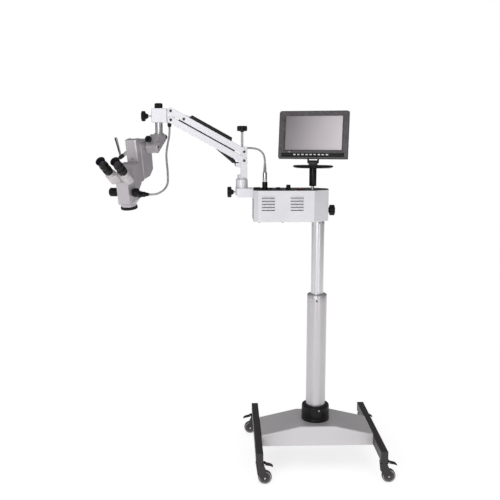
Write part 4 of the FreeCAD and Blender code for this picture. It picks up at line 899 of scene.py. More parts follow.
class MICROSCOPE_OT_light_guides(bpy.types.Operator):
    """Makes the three stretches of the fibre light guide"""

    bl_idname = "microscope.light_guides"
    bl_label = "Light Guides"

    def execute(self, context):
        rear = route_line(REAR_ROUTE)
        made = sheath("rear_light_guide", rear)
        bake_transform(made)
        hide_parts("light_guide_rear")
        arm = [Vector(place) for place in ARM_ROUTE]
        inner = sheath("arm_light_guide", arm)
        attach(inner, "upper_arm")
        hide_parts("light_guide_arm")
        self.drop()
        return {"FINISHED"}

    def drop(self):
        """The hanging stretch, cut into three lengths."""
        line = route_line(DROP_ROUTE)
        parts = cut_line(line, (0.30, 0.72))
        ends = (("arm_head", "yoke"), ("yoke", "focus_drive"), ("focus_drive", "scope"))
        names = ("drop_light_guide_top", "drop_light_guide_middle", "drop_light_guide_end")
        for index, (name, stretch, bodies) in enumerate(zip(names, parts, ends)):
            made = sheath(name, stretch)
            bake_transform(made)
            if index == 0:
                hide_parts("light_guide_drop")


# Floor stand.


class MICROSCOPE_OT_floor_stand(bpy.types.Operator):
    """Finishes the base cover, the legs and the castors"""

    bl_idname = "microscope.floor_stand"
    bl_label = "Floor Stand"

    def execute(self, context):
        refined("base_cover", finish("sheet"), edges().sheet)
        refined("base_legs", finish("legs"), edges().sheet)
        painted("base_crossbeam", finish("iron"))
        for corner in CASTORS:
            self.castor(corner)
        return {"FINISHED"}

    def castor(self, corner):
        refined("castor_fork_" + corner, finish("legs"), edges().small)
        refined("castor_pedal_" + corner, finish("blued"), edges().small)
        node = "castor_wheel_" + corner
        low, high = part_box(node)
        radius = (high.z - low.z) / 2
        width = high.y - low.y
        place = axis_frame(Vector(((low.x + high.x) / 2, low.y, (low.z + high.z) / 2)), Y_AXIS)
        self.tyre(node, place, radius, width)
        self.disc(node, place, radius, width)
        self.bolts(corner, place)

    def tyre(self, node, place, radius, width):
        seat = radius - 3.9 * MM
        profile = [(0.9 * MM, seat)]
        for i in range(13):
            angle = math.pi * i / 12
            bulge = math.sin(angle) ** 0.45
            profile.append((width / 2 - (width / 2 - 0.9 * MM) * math.cos(angle),
                            seat + 0.8 * MM + (radius - seat - 0.8 * MM) * bulge))
        profile.append((width - 0.9 * MM, seat))
        bm = lathe(bmesh.new(), place, profile, 64)
        piece("tyre_" + node[13:], bm, BODY_OF[node], finish("tyre"), (node,))

    def disc(self, node, place, radius, width):
        """Nylon disc with a hub, a sunk web with ribs and a rim."""
        rim = radius - 4.0 * MM
        half = [(0.0, 4.2 * MM), (0.0, 7.5 * MM), (0.4 * MM, 8.2 * MM), (3.4 * MM, 8.8 * MM),
                (3.8 * MM, 9.6 * MM), (3.8 * MM, rim - 4.0 * MM), (3.2 * MM, rim - 3.4 * MM),
                (1.0 * MM, rim - 2.8 * MM), (0.8 * MM, rim)]
        profile = half + [(width - d, r) for d, r in reversed(half)]
        bm = lathe(bmesh.new(), place, profile, 64)
        for side in (0, 1):
            for i in range(8):
                turn = place @ Matrix.Rotation(math.pi * i / 4 + 0.2, 4, "Z")
                near, far = sorted(abs(side * width - depth) for depth in (1.6 * MM, 4.2 * MM))
                slab(bm, turn, (8.0 * MM, -0.8 * MM, near), (rim - 3.0 * MM, 0.8 * MM, far))
        piece("wheel_disc_" + node[13:], bm, BODY_OF[node], finish("wheel"), slot="wheel_grey")

    def bolts(self, corner, place):
        """Bright axle and pedal pin heads on both cheeks."""
        fork_low, fork_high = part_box("castor_fork_" + corner)
        axle = place.translation
        pin = Vector(JOINTS["brake_tip_" + corner]["pos_m"])
        cheek, axle_end = 13.0 * MM, 17.0 * MM
        mid = (fork_low.y + fork_high.y) / 2
        seats = []
        for side in (-1, 1):
            seats.append((Vector((axle.x, mid + side * axle_end, axle.z)), Y_AXIS * side))
            seats.append((Vector((pin.x, mid + side * cheek, pin.z)), Y_AXIS * side))
        fittings("castor_bolts_" + corner, cross_screw(7.5 * MM, 1.8 * MM), seats, "castor_" + corner,
                 finish("steel"))


# Column.

COLUMN_SIDES = 128
TUBE_RADIUS = 28.5 * MM


class MICROSCOPE_OT_column(bpy.types.Operator):
    """Turns the collar, the sleeve and the inner tube"""

    bl_idname = "microscope.column"
    bl_label = "Column"

    def execute(self, context):
        centre = stand_frame()
        place = Matrix.Translation(centre)
        self.collar(place)
        self.sleeve(place)
        self.tube(place)
        return {"FINISHED"}

    def set_screw(self, name, place, degrees, radius, level, head, metal):
        """A set screw that faces outwards at this angle and height."""
        turn = math.radians(degrees)
        way = Vector((math.cos(turn), math.sin(turn), 0))
        seat = place.translation + way * radius + Vector((0, 0, level))
        node = name.replace("_set_screw", "")
        fittings(name, socket_screw(8.0 * MM, *head), [(seat, way)], BODY_OF["column_" + node], metal)

    def collar(self, place):
        low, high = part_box("column_collar")
        sleeve_low, sleeve_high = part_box("column_sleeve")
        r = (high.x - low.x) / 2
        bore = (sleeve_high.x - sleeve_low.x) / 2 + 0.4 * MM
        z0, z1 = low.z, high.z
        # Millimetres up from the foot or down from the top, and in from the outside.
        skirt = ((0, 1.4), (0.6, 0.5), (2.2, 0.1), (14, 0), (15, 0.6), (16, 0.1))
        shoulder = ((9, 0.9), (4, 2.2), (1.2, 5.0), (0.2, 8.0), (0, 9.5))
        profile = [(z0 + 2 * MM, bore), (z0, bore + 1 * MM)]
        profile += [(z0 + up * MM, r - inset * MM) for up, inset in skirt]
        profile += [(z1 - down * MM, r - inset * MM) for down, inset in shoulder]
        profile += [(z1 - 0.4 * MM, bore + 1.2 * MM), (z1 - 2 * MM, bore)]
        bm = lathe_open(bmesh.new(), place, profile, COLUMN_SIDES)
        piece("collar_ring", bm, BODY_OF["column_collar"], finish("plastic"), ("column_collar",))
        self.set_screw("collar_set_screw", place, -81, r - 1.4 * MM, z0 + 57 * MM, (1.6 * MM, 4.0 * MM),
                       finish("steel"))

    def sleeve(self, place):
        """Outer tube with a ring at its head that closes on the inner tube."""
        low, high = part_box("column_sleeve")
        guide_low, guide_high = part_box("column_tube")
        r = (high.x - low.x) / 2
        bore = (guide_high.x - guide_low.x) / 2
        clear = TUBE_RADIUS + 0.1 * MM
        z0, z1 = low.z, high.z
        joint = z1 - 31 * MM
        profile = [(z0, bore), (z0, r), (joint - 0.5 * MM, r), (joint, r - 0.5 * MM),
                   (joint + 0.5 * MM, r), (z1 - 5 * MM, r), (z1 - 2.6 * MM, r - 0.7 * MM),
                   (z1 - 0.9 * MM, r - 2.4 * MM), (z1 - 0.1 * MM, r - 5 * MM), (z1, clear + 1.2 * MM),
                   (z1 - 0.8 * MM, clear), (z1 - 60 * MM, clear), (z1 - 86 * MM, bore)]
        bm = lathe_open(bmesh.new(), place, profile, COLUMN_SIDES)
        piece("outer_sleeve", bm, BODY_OF["column_sleeve"], finish("sleeve"), ("column_sleeve",))
        self.set_screw("sleeve_set_screw", place, -97, r - 0.2 * MM, z1 - 26 * MM, (1.0 * MM, 4.4 * MM),
                       finish("blued"))

    def tube(self, place):
        """Inner tube with its guide ring, and two screws below the console."""
        low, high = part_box("column_tube")
        ring = (high.x - low.x) / 2
        r = TUBE_RADIUS
        wall, chamfer = 3 * MM, 0.5 * MM
        z0, z1 = low.z, high.z
        ring_top = z0 + 30 * MM
        profile = [(z0, r - wall), (z0, ring - chamfer), (z0 + chamfer, ring), (ring_top - chamfer, ring),
                   (ring_top, ring - chamfer), (ring_top, r), (z1 - 0.6 * MM, r), (z1, r - 0.6 * MM),
                   (z1, r - wall)]
        bm = lathe_open(bmesh.new(), place, profile, COLUMN_SIDES)
        piece("inner_column_tube", bm, BODY_OF["column_tube"], finish("tube"), ("column_tube",))
        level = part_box("console_shell")[0].z - 9 * MM
        seats = []
        for out in (4 * MM, 20 * MM):
            way = Vector((out, -math.sqrt(r * r - out * out), 0))
            seats.append((place.translation + way + Vector((0, 0, level)), way))
        fittings("tube_screws", socket_screw(6.0 * MM, 1.2 * MM, 3.2 * MM), seats, BODY_OF["column_tube"],
                 finish("blued"))


# Knobs.


STAR_KNOBS = (
    # node, joint, head height, hub from the seat, hub radii, hollows, shaft radius
    ("console_clamp_knob", "console_clamp_turn", 24.0, 0.3, (9.4, 12.2), 6, 5.0),
    ("post_clamp_knob", "post_clamp_turn", 19.0, 8.0, (9.4, 12.2), 6, 5.0),
    ("lift_knob", "lift_knob_turn", 23.0, 62.0, (7.0, 8.0), 6, 5.0),
    ("front_side_knob", "shaft_screw_turn", 18.0, 16.0, (8.0, 14.0), 6, 3.5),
    ("yoke_side_knob", "tilt_screw_turn", 18.0, 0.3, (5.6, 7.2), 8, 3.5),
    ("yoke_rear_knob", "swivel_screw_turn", 14.0, 0.3, (5.0, 6.5), 8, 3.5))


# Outlines of knob heads: millimetres up from the underside or down from the top, share of the
# radius, and share of the hollows or flutes.
STAR_FOOT = ((0, 0.78, 0.5), (0.5, 0.86, 0.8), (1.4, 0.945, 1), (2.8, 0.99, 1), (4.0, 1, 1))
STAR_CROWN = ((5.0, 1, 1), (3.2, 0.985, 1), (1.6, 0.93, 1), (0.5, 0.84, 0.9), (0, 0.75, 0.7),
              (0, 0.44), (0.9, 0.41), (0.9, 0.38), (0.2, 0.36), (0.05, 0.12))
DIAL_FOOT = ((0, 1), (2.2, 1), (2.4, 1, 1))
DIAL_CROWN = ((1.6, 0.93, 1), (0.6, 0.88, 0.6), (0, 0.8), (0, 0.6), (0.4, 0.57), (0.3, 0.1))
NUT_FOOT = ((0, 0.86), (0.6, 0.9), (2.2, 0.97), (2.8, 1, 1))
NUT_CROWN = ((5.4, 1, 1), (4.8, 0.975), (3.4, 0.96), (1.8, 0.9), (0.6, 0.8), (0, 0.66), (0, 0.34),
             (1.2, 0.31), (1.2, 0.05))
# The drum's outlines hold radii in millimetres in place of shares.
DRUM_FOOT = ((0, 13.4), (3.6, 14.6), (4.2, 16.2), (5.2, 17.8), (6.4, 18), (7.2, 18, 1))
DRUM_CROWN = ((5.4, 18, 1), (4.6, 17.9), (2.6, 17.3), (0.8, 15.8), (0, 14), (0, 9), (0.7, 8.6), (0.6, 2))


def knob_head(base, foot, top, crown, radius):
    """The profile of a knob's head between two heights."""
    return ([(base + up * MM, radius * share, *wave) for up, share, *wave in foot]
            + [(top - down * MM, radius * share, *wave) for down, share, *wave in crown])


class MICROSCOPE_OT_knobs(bpy.types.Operator):
    """Makes the star knobs, the dial, the drum knobs and the knurled nut"""

    bl_idname = "microscope.knobs"
    bl_label = "Knobs"

    def execute(self, context):
        for row in STAR_KNOBS:
            self.star(*row)
        self.dial()
        self.drum()
        self.nut()
        return {"FINISHED"}

    def star(self, node, joint, head_height, hub_from, hub_radii, count, shaft_radius):
        """Star knob with a short hub, on a bright threaded shaft."""
        place = joint_frame(joint)
        low, high = box_in(node, place)
        r = reach_in(node, place)
        base = high.z - head_height * MM
        near, far = hub_radii
        hub = [(hub_from * MM, near * MM), (base - 1.5 * MM, far * MM * 0.94), (base, far * MM)]
        head = knob_head(base, STAR_FOOT, high.z, STAR_CROWN, r)
        bm = lathe(bmesh.new(), place, hub + head, 144, scallops(count, 0.15, 0.31 * 6 / count))
        piece(node + "_moulded", bm, BODY_OF[node], finish("plastic"), (node,))
        shaft = [(low.z, shaft_radius * MM), (base + 1 * MM, shaft_radius * MM)]
        piece(node + "_shaft", lathe(bmesh.new(), place, shaft, 32), BODY_OF[node], finish("nickel"),
              slot="bright_steel")

    def dial(self):
        """Fluted dial knob with a pointer line and a ring of marks round it."""
        place = joint_frame("dimmer_turn")
        low, high = box_in("dimmer_knob", place)
        top, r, spindle = high.z, 10.0 * MM, 3 * MM
        base = top - 15.0 * MM
        profile = [(low.z, spindle), (base, spindle)] + knob_head(base, DIAL_FOOT, top, DIAL_CROWN, r)
        bm = lathe(bmesh.new(), place, profile, 144, flutes(24, 0.07))
        piece("dial_knob", bm, BODY_OF["dimmer_knob"], finish("plastic"), ("dimmer_knob",))
        bm = slab(bmesh.new(), place, (-0.5 * MM, -r * 0.78, top - 0.35 * MM),
                  (0.5 * MM, -r * 0.1, top + 0.1 * MM))
        piece("dial_pointer", bm, BODY_OF["dimmer_knob"], finish("white"), slot="key_silver")
        bm = bmesh.new()
        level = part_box("console_lid")[1].z - place.translation.z
        for i in range(11):
            turn = place @ Matrix.Rotation(math.radians(-60 + 30 * i), 4, "Z")
            slab(bm, turn, (14.2 * MM, -0.4 * MM, level), (17.0 * MM, 0.4 * MM, level + 0.15 * MM))
        piece("dial_marks", bm, BODY_OF["console_lid"], finish("white"), slot="key_silver")

    def drum(self):
        """A fluted knob on each side of the body, on one spindle."""
        place = joint_frame("magnification_turn")
        low, high = box_in("mag_knobs", place)
        face = 35.3 * MM
        bm = lathe(bmesh.new(), place, [(-face, 6 * MM), (face, 6 * MM)], 32)
        for turn, end in ((0, high.z), (math.pi, -low.z)):
            side = place @ Matrix.Rotation(turn, 4, "X")
            lathe(bm, side, knob_head(face, DRUM_FOOT, end, DRUM_CROWN, MM), 192, flutes(32, 0.055))
        piece("drum_knobs", bm, BODY_OF["mag_knobs"], finish("plastic"), ("mag_knobs",))

    def nut(self):
        """Knurled round knob on top of the front block."""
        place = joint_frame("shaft_nut_turn")
        low, high = box_in("front_top_knob", place)
        profile = knob_head(low.z, NUT_FOOT, high.z, NUT_CROWN, 17.5 * MM)
        bm = lathe(bmesh.new(), place, profile, 160, flutes(40, 0.05))
        piece("knurled_nut", bm, BODY_OF["front_top_knob"], finish("plastic"), ("front_top_knob",))


# Console.


class MICROSCOPE_OT_console(bpy.types.Operator):
    """Finishes the console, its fittings, the bracket and the clamp plate"""

    bl_idname = "microscope.console"
    bl_label = "Console"

    def execute(self, context):
        refined("console_shell", finish("arm"), edges().sheet)
        refined("console_lid", finish("gloss"), edges().small)
        painted("console_works", finish("works"))
        refined("arm_bracket", finish("arm"), edges().casting)
        refined("power_rocker", finish("red"), edges().small)
        self.fittings_on_top()
        self.louvres()
        self.screws()
        return {"FINISHED"}

    def fittings_on_top(self):
        """The lid's small fittings, and the light guide's socket with its bright ferrule."""
        socket_x = REAR_ROUTE[0][0]

        def small(group):
            return abs(sum(vert.co.x for vert in group) / len(group) - socket_x) > 0.003
        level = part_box("console_lid")[1].z
        bm = merged("console_fittings", small)
        for vert in bm.verts:
            vert.co.z = min(vert.co.z, level + 6.5 * MM)
        piece("lid_fittings", bm, "console", finish("case"), ("console_fittings",), edge=edges().small)
        place = Matrix.Translation((socket_x, REAR_ROUTE[0][1], level))
        nut = [(0, 15.0), (0.6, 15.0), (5.6, 15.0), (6.2, 14.4), (6.2, 11.8, 1), (14.0, 11.8, 1),
               (14.4, 11.2), (15.4, 11.2), (15.8, 11.9), (28.6, 11.9), (29.6, 11.2), (30.2, 9.0)]
        bm = lathe(bmesh.new(), place, in_mm(nut), 96, flutes(28, 0.05))
        piece("socket_nut", bm, "console", finish("gloss"), slot="black_fitting")
        ferrule = [(29.8, 9.2), (30.6, 9.5), (44.0, 9.5), (44.4, 9.1), (45.4, 9.1), (45.8, 9.5),
                   (70.0, 9.5), (71.4, 9.2), (73.0, 8.4), (73.6, 7.4)]
        bm = lathe(bmesh.new(), place, in_mm(ferrule), 64)
        piece("socket_ferrule", bm, "console", finish("steel"), slot="bright_steel")
        relief = [(73.2, 7.6)]
        for i in range(12):
            foot, r = 74.2 + 3.1 * i, 7.4 - 1.9 * i / 11
            relief += [(foot, r), (foot + 1.8, r), (foot + 2.1, r - 0.7), (foot + 2.8, r - 0.7)]
        relief += [(112.2, 5.2), (112.5, 4.6)]
        bm = lathe(bmesh.new(), place, in_mm(relief), 48)
        piece("socket_relief", bm, "console", finish("sheath"), slot="guide_sheath")

    def louvres(self):
        """A raised lip over each cooling slot."""
        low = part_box("console_shell")[0]
        bm = bmesh.new()
        steps = 8
        half, taper, rise, out, sunk = 29.5 * MM, 1.6 * MM, 3.2 * MM, 1.5 * MM, 0.4 * MM
        arc = [math.pi * i / steps for i in range(steps + 1)]
        rows = []
        for x, share in ((-half, 0), (-half + taper, 1), (half - taper, 1), (half, 0)):
            rows.append([bm.verts.new((x, rise * math.cos(angle),
                                       (out + sunk) * share * math.sin(angle) - sunk)) for angle in arc])
        for first, second in zip(rows, rows[1:]):
            for i in range(steps):
                bm.faces.new((first[i], first[i + 1], second[i + 1], second[i]))
            bm.faces.new((first[-1], first[0], second[0], second[-1]))
        first_row, pitch = 56.9 * MM, 13.3 * MM
        seats = [(Vector((low.x + centre, low.y, low.z + first_row + pitch * row)), -Y_AXIS)
                 for centre in (64.0 * MM, 189.0 * MM) for row in range(5)]
        fittings("louvre_lips", bm, seats, "console", finish("arm"))

    def screws(self):
        """Screws under the console, and the end plate with its screws."""
        low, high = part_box("console_shell")
        inset = 9 * MM
        seats = [(Vector((low.x + x * MM, y, low.z)), -Z_AXIS)
                 for y in (low.y + inset, high.y - inset) for x in (25, 127)]
        fittings("console_screws", cross_screw(7.0 * MM, 3.0 * MM), seats, "console", finish("blued"))
        middle, half, inset = (low.y + high.y) / 2, 24 * MM, 7 * MM
        plate_low = Vector((low.x - 1.6 * MM, middle - half, low.z + 10 * MM))
        plate_high = Vector((low.x + 0.2 * MM, middle + half, low.z + 98 * MM))
        bm = slab(bmesh.new(), Matrix.Identity(4), plate_low, plate_high)
        piece("end_plate", bm, "console", finish("legs"), slot="black_steel", edge=edges().small)
        seats = [(Vector((plate_low.x, y, z)), -X_AXIS)
                 for y in (plate_low.y + inset, plate_high.y - inset)
                 for z in (plate_low.z + inset, plate_high.z - inset)]
        fittings("end_plate_screws", cross_screw(6.0 * MM, 1.4 * MM), seats, "console", finish("steel"))


# Arm.


class MICROSCOPE_OT_arm(bpy.types.Operator):
    """Finishes the post, the bars, the spring and the front block"""

    bl_idname = "microscope.arm"
    bl_label = "Arm"

    def execute(self, context):
        for node in ("arm_post", "upper_bar", "lower_bar", "front_block"):
            refined(node, finish("arm"), edges().casting if "bar" not in node else edges().small)
        self.covers()
        self.pins()
        self.dust_strips()
        refined("spring_cylinder", finish("case"), edges().small)
        refined("spring_rod", finish("steel"), edges().small)
        self.gland()
        return {"FINISHED"}

    def covers(self):
        """The black cover, and the pale wedge in front of it."""
        def long_one(group):
            return max(vert.co.x for vert in group) - min(vert.co.x for vert in group) > 0.05
        bm = merged("arm_top_cover", long_one)
        piece("arm_black_cover", bm, "upper_arm", finish("plastic"), ("arm_top_cover",),
              edge=edges().casting)
        bm = merged("arm_top_cover", lambda group: not long_one(group))
        piece("arm_wedge", bm, "upper_arm", finish("arm"), slot="pale_paint", edge=edges().small)

    def pins(self):
        """Turned pin heads with a dark socket screw in each."""
        for node in ("upper_bar_pins", "lower_bar_pins"):
            painted(node, finish("nickel"))
            bm = merged(node)
            seats = []
            for group in islands(bm):
                low, high = corners_of([vert.co for vert in group])
                mid = (low + high) / 2
                seats.append((Vector((mid.x, low.y, mid.z)), -Y_AXIS))
                seats.append((Vector((mid.x, high.y, mid.z)), Y_AXIS))
            bm.free()
            fittings(node + "_screws", socket_screw(9.6 * MM, 1.2 * MM, 5.0 * MM), seats, BODY_OF[node],
                     finish("blued"))

    def dust_strips(self):
        """Near-black strips inside the cheeks, in the gap between the two bars: painted shade where the gap falls
        dark.
        """
        rear = Vector(JOINTS["arm_lift"]["pos_m"])
        front = Vector(JOINTS["front_block_level"]["pos_m"])
        way = (rear - front).normalized()
        place = Matrix((way, Y_AXIS, way.cross(Y_AXIS))).transposed().to_4x4()
        place.translation = rear
        length = (rear - front).length
        bm = bmesh.new()
        for side in (-1, 1):
            near, far = sorted((side * 17.2 * MM, side * 19.4 * MM))
            slab(bm, place, (48 * MM - length, near, -25 * MM), (-38 * MM, far, -9 * MM))
        # Painted shade: near-black slabs in the gap between the bars.
        piece("dust_strips", bm, "upper_arm", finish("dark"), slot="black_plastic")

    def gland(self):
        """Knurled black nut on the front block's gland."""
        place = axis_frame(Vector(DROP_ROUTE[0]), Z_AXIS)
        profile = [(-0.2, 4.8), (-0.2, 5.9), (1.0, 6.3), (5.0, 8.2), (11.0, 8.9), (12.0, 9.0, 1),
                   (17.6, 9.0, 1), (18.2, 8.7)]
        bm = lathe(bmesh.new(), place, in_mm(profile), 96, flutes(24, 0.05))
        piece("gland_nut", bm, "arm_head", finish("gloss"), slot="black_fitting")


# Head. Its own frame starts at the tilt hub: X to the right, Y back, Z up the focus slide.

HOUSING_FRONT = -61 * MM
CARRIAGE_FRONT = -101 * MM


class MICROSCOPE_OT_head(bpy.types.Operator):
    """Finishes the yoke, the focus housing, the carriage, the body and the lens"""

    bl_idname = "microscope.head"
    bl_label = "Head"

    def execute(self, context):
        self.yoke()
        self.housing()
        self.carriage()
        refined("scope_body", finish("head"), edges().casting)
        self.lens()
        self.connector()
        self.lever()
        self.hub_cap()
        self.cover_screws()
        return {"FINISHED"}

    def yoke(self):
        """Painted block, with its swivel shaft left bright."""
        axis = Vector(JOINTS["head_swivel"]["pos_m"])
        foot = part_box("head_yoke")[1].z - 112 * MM

        def bright(spot):
            return spot.z > foot and math.hypot(spot.x - axis.x, spot.y - axis.y) < 22 * MM
        piece("head_yoke_finished", marked(merged("head_yoke"), bright), "yoke", finish("head"),
              ("head_yoke",), edge=edges().casting, second=finish("nickel"))

    def housing(self):
        """Casing with bevelled front corners and a parting line under its upper cover."""
        place = head_frame()
        low, high = box_in("focus_housing", place)
        cut, deep = 3.5 * MM, -50 * MM
        bm = merged("focus_housing")
        for x, way in ((low.x, 1), (high.x, -1)):
            cut_corner(bm, place, (x, HOUSING_FRONT + cut, 0), (x + way * cut, HOUSING_FRONT, 0),
                       (x, HOUSING_FRONT + cut, deep))
        piece("focus_housing_finished", bm, "focus_drive", finish("head"), ("focus_housing",),
              edge=edges().casting)
        out = 0.15 * MM
        bm = slab(bmesh.new(), place, (low.x - out, HOUSING_FRONT + 3 * MM, -2.6 * MM),
                  (high.x + out, high.y - 1 * MM, -1.8 * MM))
        piece("housing_parting_line", bm, "focus_drive", finish("dark"), slot="black_plastic")

    def carriage(self):
        """Plate with a flat pale wedge down its right edge: a machined bevel's bright metal and its painted
        highlight.
        """
        place = head_frame()
        refined("slide_plate", finish("head"), edges().casting)
        top = box_in("slide_plate", place)[1].z - 1 * MM
        right = box_in("scope_body", place)[1].x - 6.4 * MM
        proud = 0.3 * MM
        bm = bmesh.new()
        corners = [(right - 8 * MM, top), (right, top), (right, -44 * MM)]
        near, far = ([bm.verts.new(place @ Vector((x, y, z))) for x, z in corners]
                     for y in (CARRIAGE_FRONT - proud, CARRIAGE_FRONT + proud))
        bm.faces.new(near)
        bm.faces.new(far)
        for k in range(3):
            bm.faces.new((near[k], near[k - 1], far[k - 1], far[k]))
        # Pale silver wedge lying on the front face: painted highlight of the lit bevel, partly bright machined
        # metal.
        piece("carriage_bevel", bm, "scope", finish("keys"), slot="bright_steel")

    def lens(self):
        """Knurled ring with a stepped bore, round a domed glass."""
        place = axis_frame(Vector((0, 0, 0)), -Vector(JOINTS["focus_slide"]["axis"]))
        seat = end_centre("objective", place) - Vector((0, 0, 12 * MM))
        ring = place @ Matrix.Translation(seat)
        profile = [(0.2, 25.6), (0.2, 34.0), (0.8, 34.8), (2.0, 34.9), (2.4, 35.0, 1), (8.6, 35.0, 1),
                   (9.0, 34.9), (11.0, 34.8), (11.8, 34.0), (12.0, 33.2), (11.6, 31.4), (10.6, 30.8),
                   (10.4, 29.8), (8.8, 29.4), (8.6, 28.4), (7.0, 28.0), (6.8, 27.0), (4.0, 26.6),
                   (3.8, 25.6)]
        bm = lathe_open(bmesh.new(), ring, in_mm(profile), 288, flutes(72, 0.022))
        piece("lens_ring", bm, "scope", finish("anodised"), ("objective",))
        rim, rise = 25.55, 3.2
        dome = [(1.0, rim), (3.4, rim)]
        dome += [(3.4 + rise * (1 - (r / rim) ** 2), r) for r in (25.0, 22, 18, 14, 10, 6, 2)]
        bm = lathe(bmesh.new(), ring, in_mm(dome), 96)
        piece("lens_glass", bm, "scope", finish("lens"), slot="black_fitting")

    def connector(self):
        """Black plug body with a knurled collar and a ribbed sleeve on the guide."""
        place = head_frame()
        low, high = box_in("guide_connector", place)
        tip = Vector((high.x, (low.y + high.y) / 2, (low.z + high.z) / 2))
        seat = axis_frame(place @ Vector((low.x, tip.y, tip.z)), place.to_3x3() @ X_AXIS)
        profile = [(0, 14.0), (0.8, 14.0), (2.0, 13.9, 1), (11.4, 13.9, 1), (12.4, 13.8), (13.6, 13.2),
                   (14.6, 11.8), (15.8, 11.4), (28.6, 11.4), (29.8, 10.8), (31.0, 9.6)]
        for i in range(7):
            foot, r = 32.0 + 2.5 * i, 9.0 - 3.1 * i / 6
            profile += [(foot, r), (foot + 1.4, r), (foot + 1.7, r - 0.8), (foot + 2.4, r - 0.8)]
        profile += [(49.8, 5.2), (50.0, 4.6)]
        bm = lathe(bmesh.new(), seat, in_mm(profile), 120, flutes(30, 0.05))
        piece("guide_plug", bm, "scope", finish("plastic"), ("guide_connector",))

    def lever(self):
        """Black boss, and the thin handle rod in grey metal."""
        place = joint_frame("side_handle_turn")
        refined("position_lever", finish("plastic"), edges().small)
        top = max((vertex.co for vertex in NODES["position_lever"].data.vertices), key=lambda co: co.z)
        foot, start, r = place @ Vector((0, 0, 22 * MM)), 9.2 * MM, 4.25 * MM
        axis = (top - foot).normalized()
        length = (top - foot).length - start
        profile = [(0, r), (length - 1.4 * MM, r), (length - 0.4 * MM, 3.7 * MM), (length, 2.6 * MM)]
        bm = lathe(bmesh.new(), axis_frame(foot + axis * start, axis), profile, 32)
        piece("handle_rod", bm, "side_handle", finish("nickel"), slot="bright_steel")

    def hub_cap(self):
        """Pale cap on the tilt hub's right end with a dark screw in it."""
        tilt = joint_frame("head_tilt")
        top = box_in("head_yoke", tilt)[1].z
        cap = in_mm([(-0.4, 19.4), (0, 19.6), (1.2, 19.4), (1.8, 18.6), (1.9, 6.0), (1.2, 5.6), (1.2, 1.0)])
        place = tilt @ Matrix.Translation((0, 0, top))
        piece("hub_cap", lathe(bmesh.new(), place, cap, 96), "yoke", finish("prism"), slot="pale_casting")
        seat = place @ Vector((0, 0, 1.2 * MM))
        fittings("hub_screw", socket_screw(9.0 * MM, 1.6 * MM, 4.6 * MM), [(seat, tilt.to_3x3() @ Z_AXIS)],
                 "yoke", finish("blued"))

    def cover_screws(self):
        """Small screws on the housing's sides, and one on the carriage's face."""
        place = head_frame()
        turn = place.to_3x3()
        low, high = box_in("focus_housing", place)
        seats = [(place @ Vector((x, y, z)), turn @ way) for x, way in ((high.x, X_AXIS), (low.x, -X_AXIS))
                 for y in (-44 * MM, 24 * MM) for z in (-92 * MM, 8 * MM)]
        fittings("housing_screws", cross_screw(4.6 * MM, 0.9 * MM), seats, "focus_drive", finish("steel"))
        low, high = box_in("scope_body", place)
        centre = (low.x + high.x) / 2 + 4 * MM
        seats = [(place @ Vector((centre, CARRIAGE_FRONT, -30 * MM)), turn @ -Y_AXIS)]
        fittings("carriage_screws", socket_screw(5.4 * MM, 0.8 * MM, 2.8 * MM), seats, "scope",
                 finish("blued"))


# Binocular.


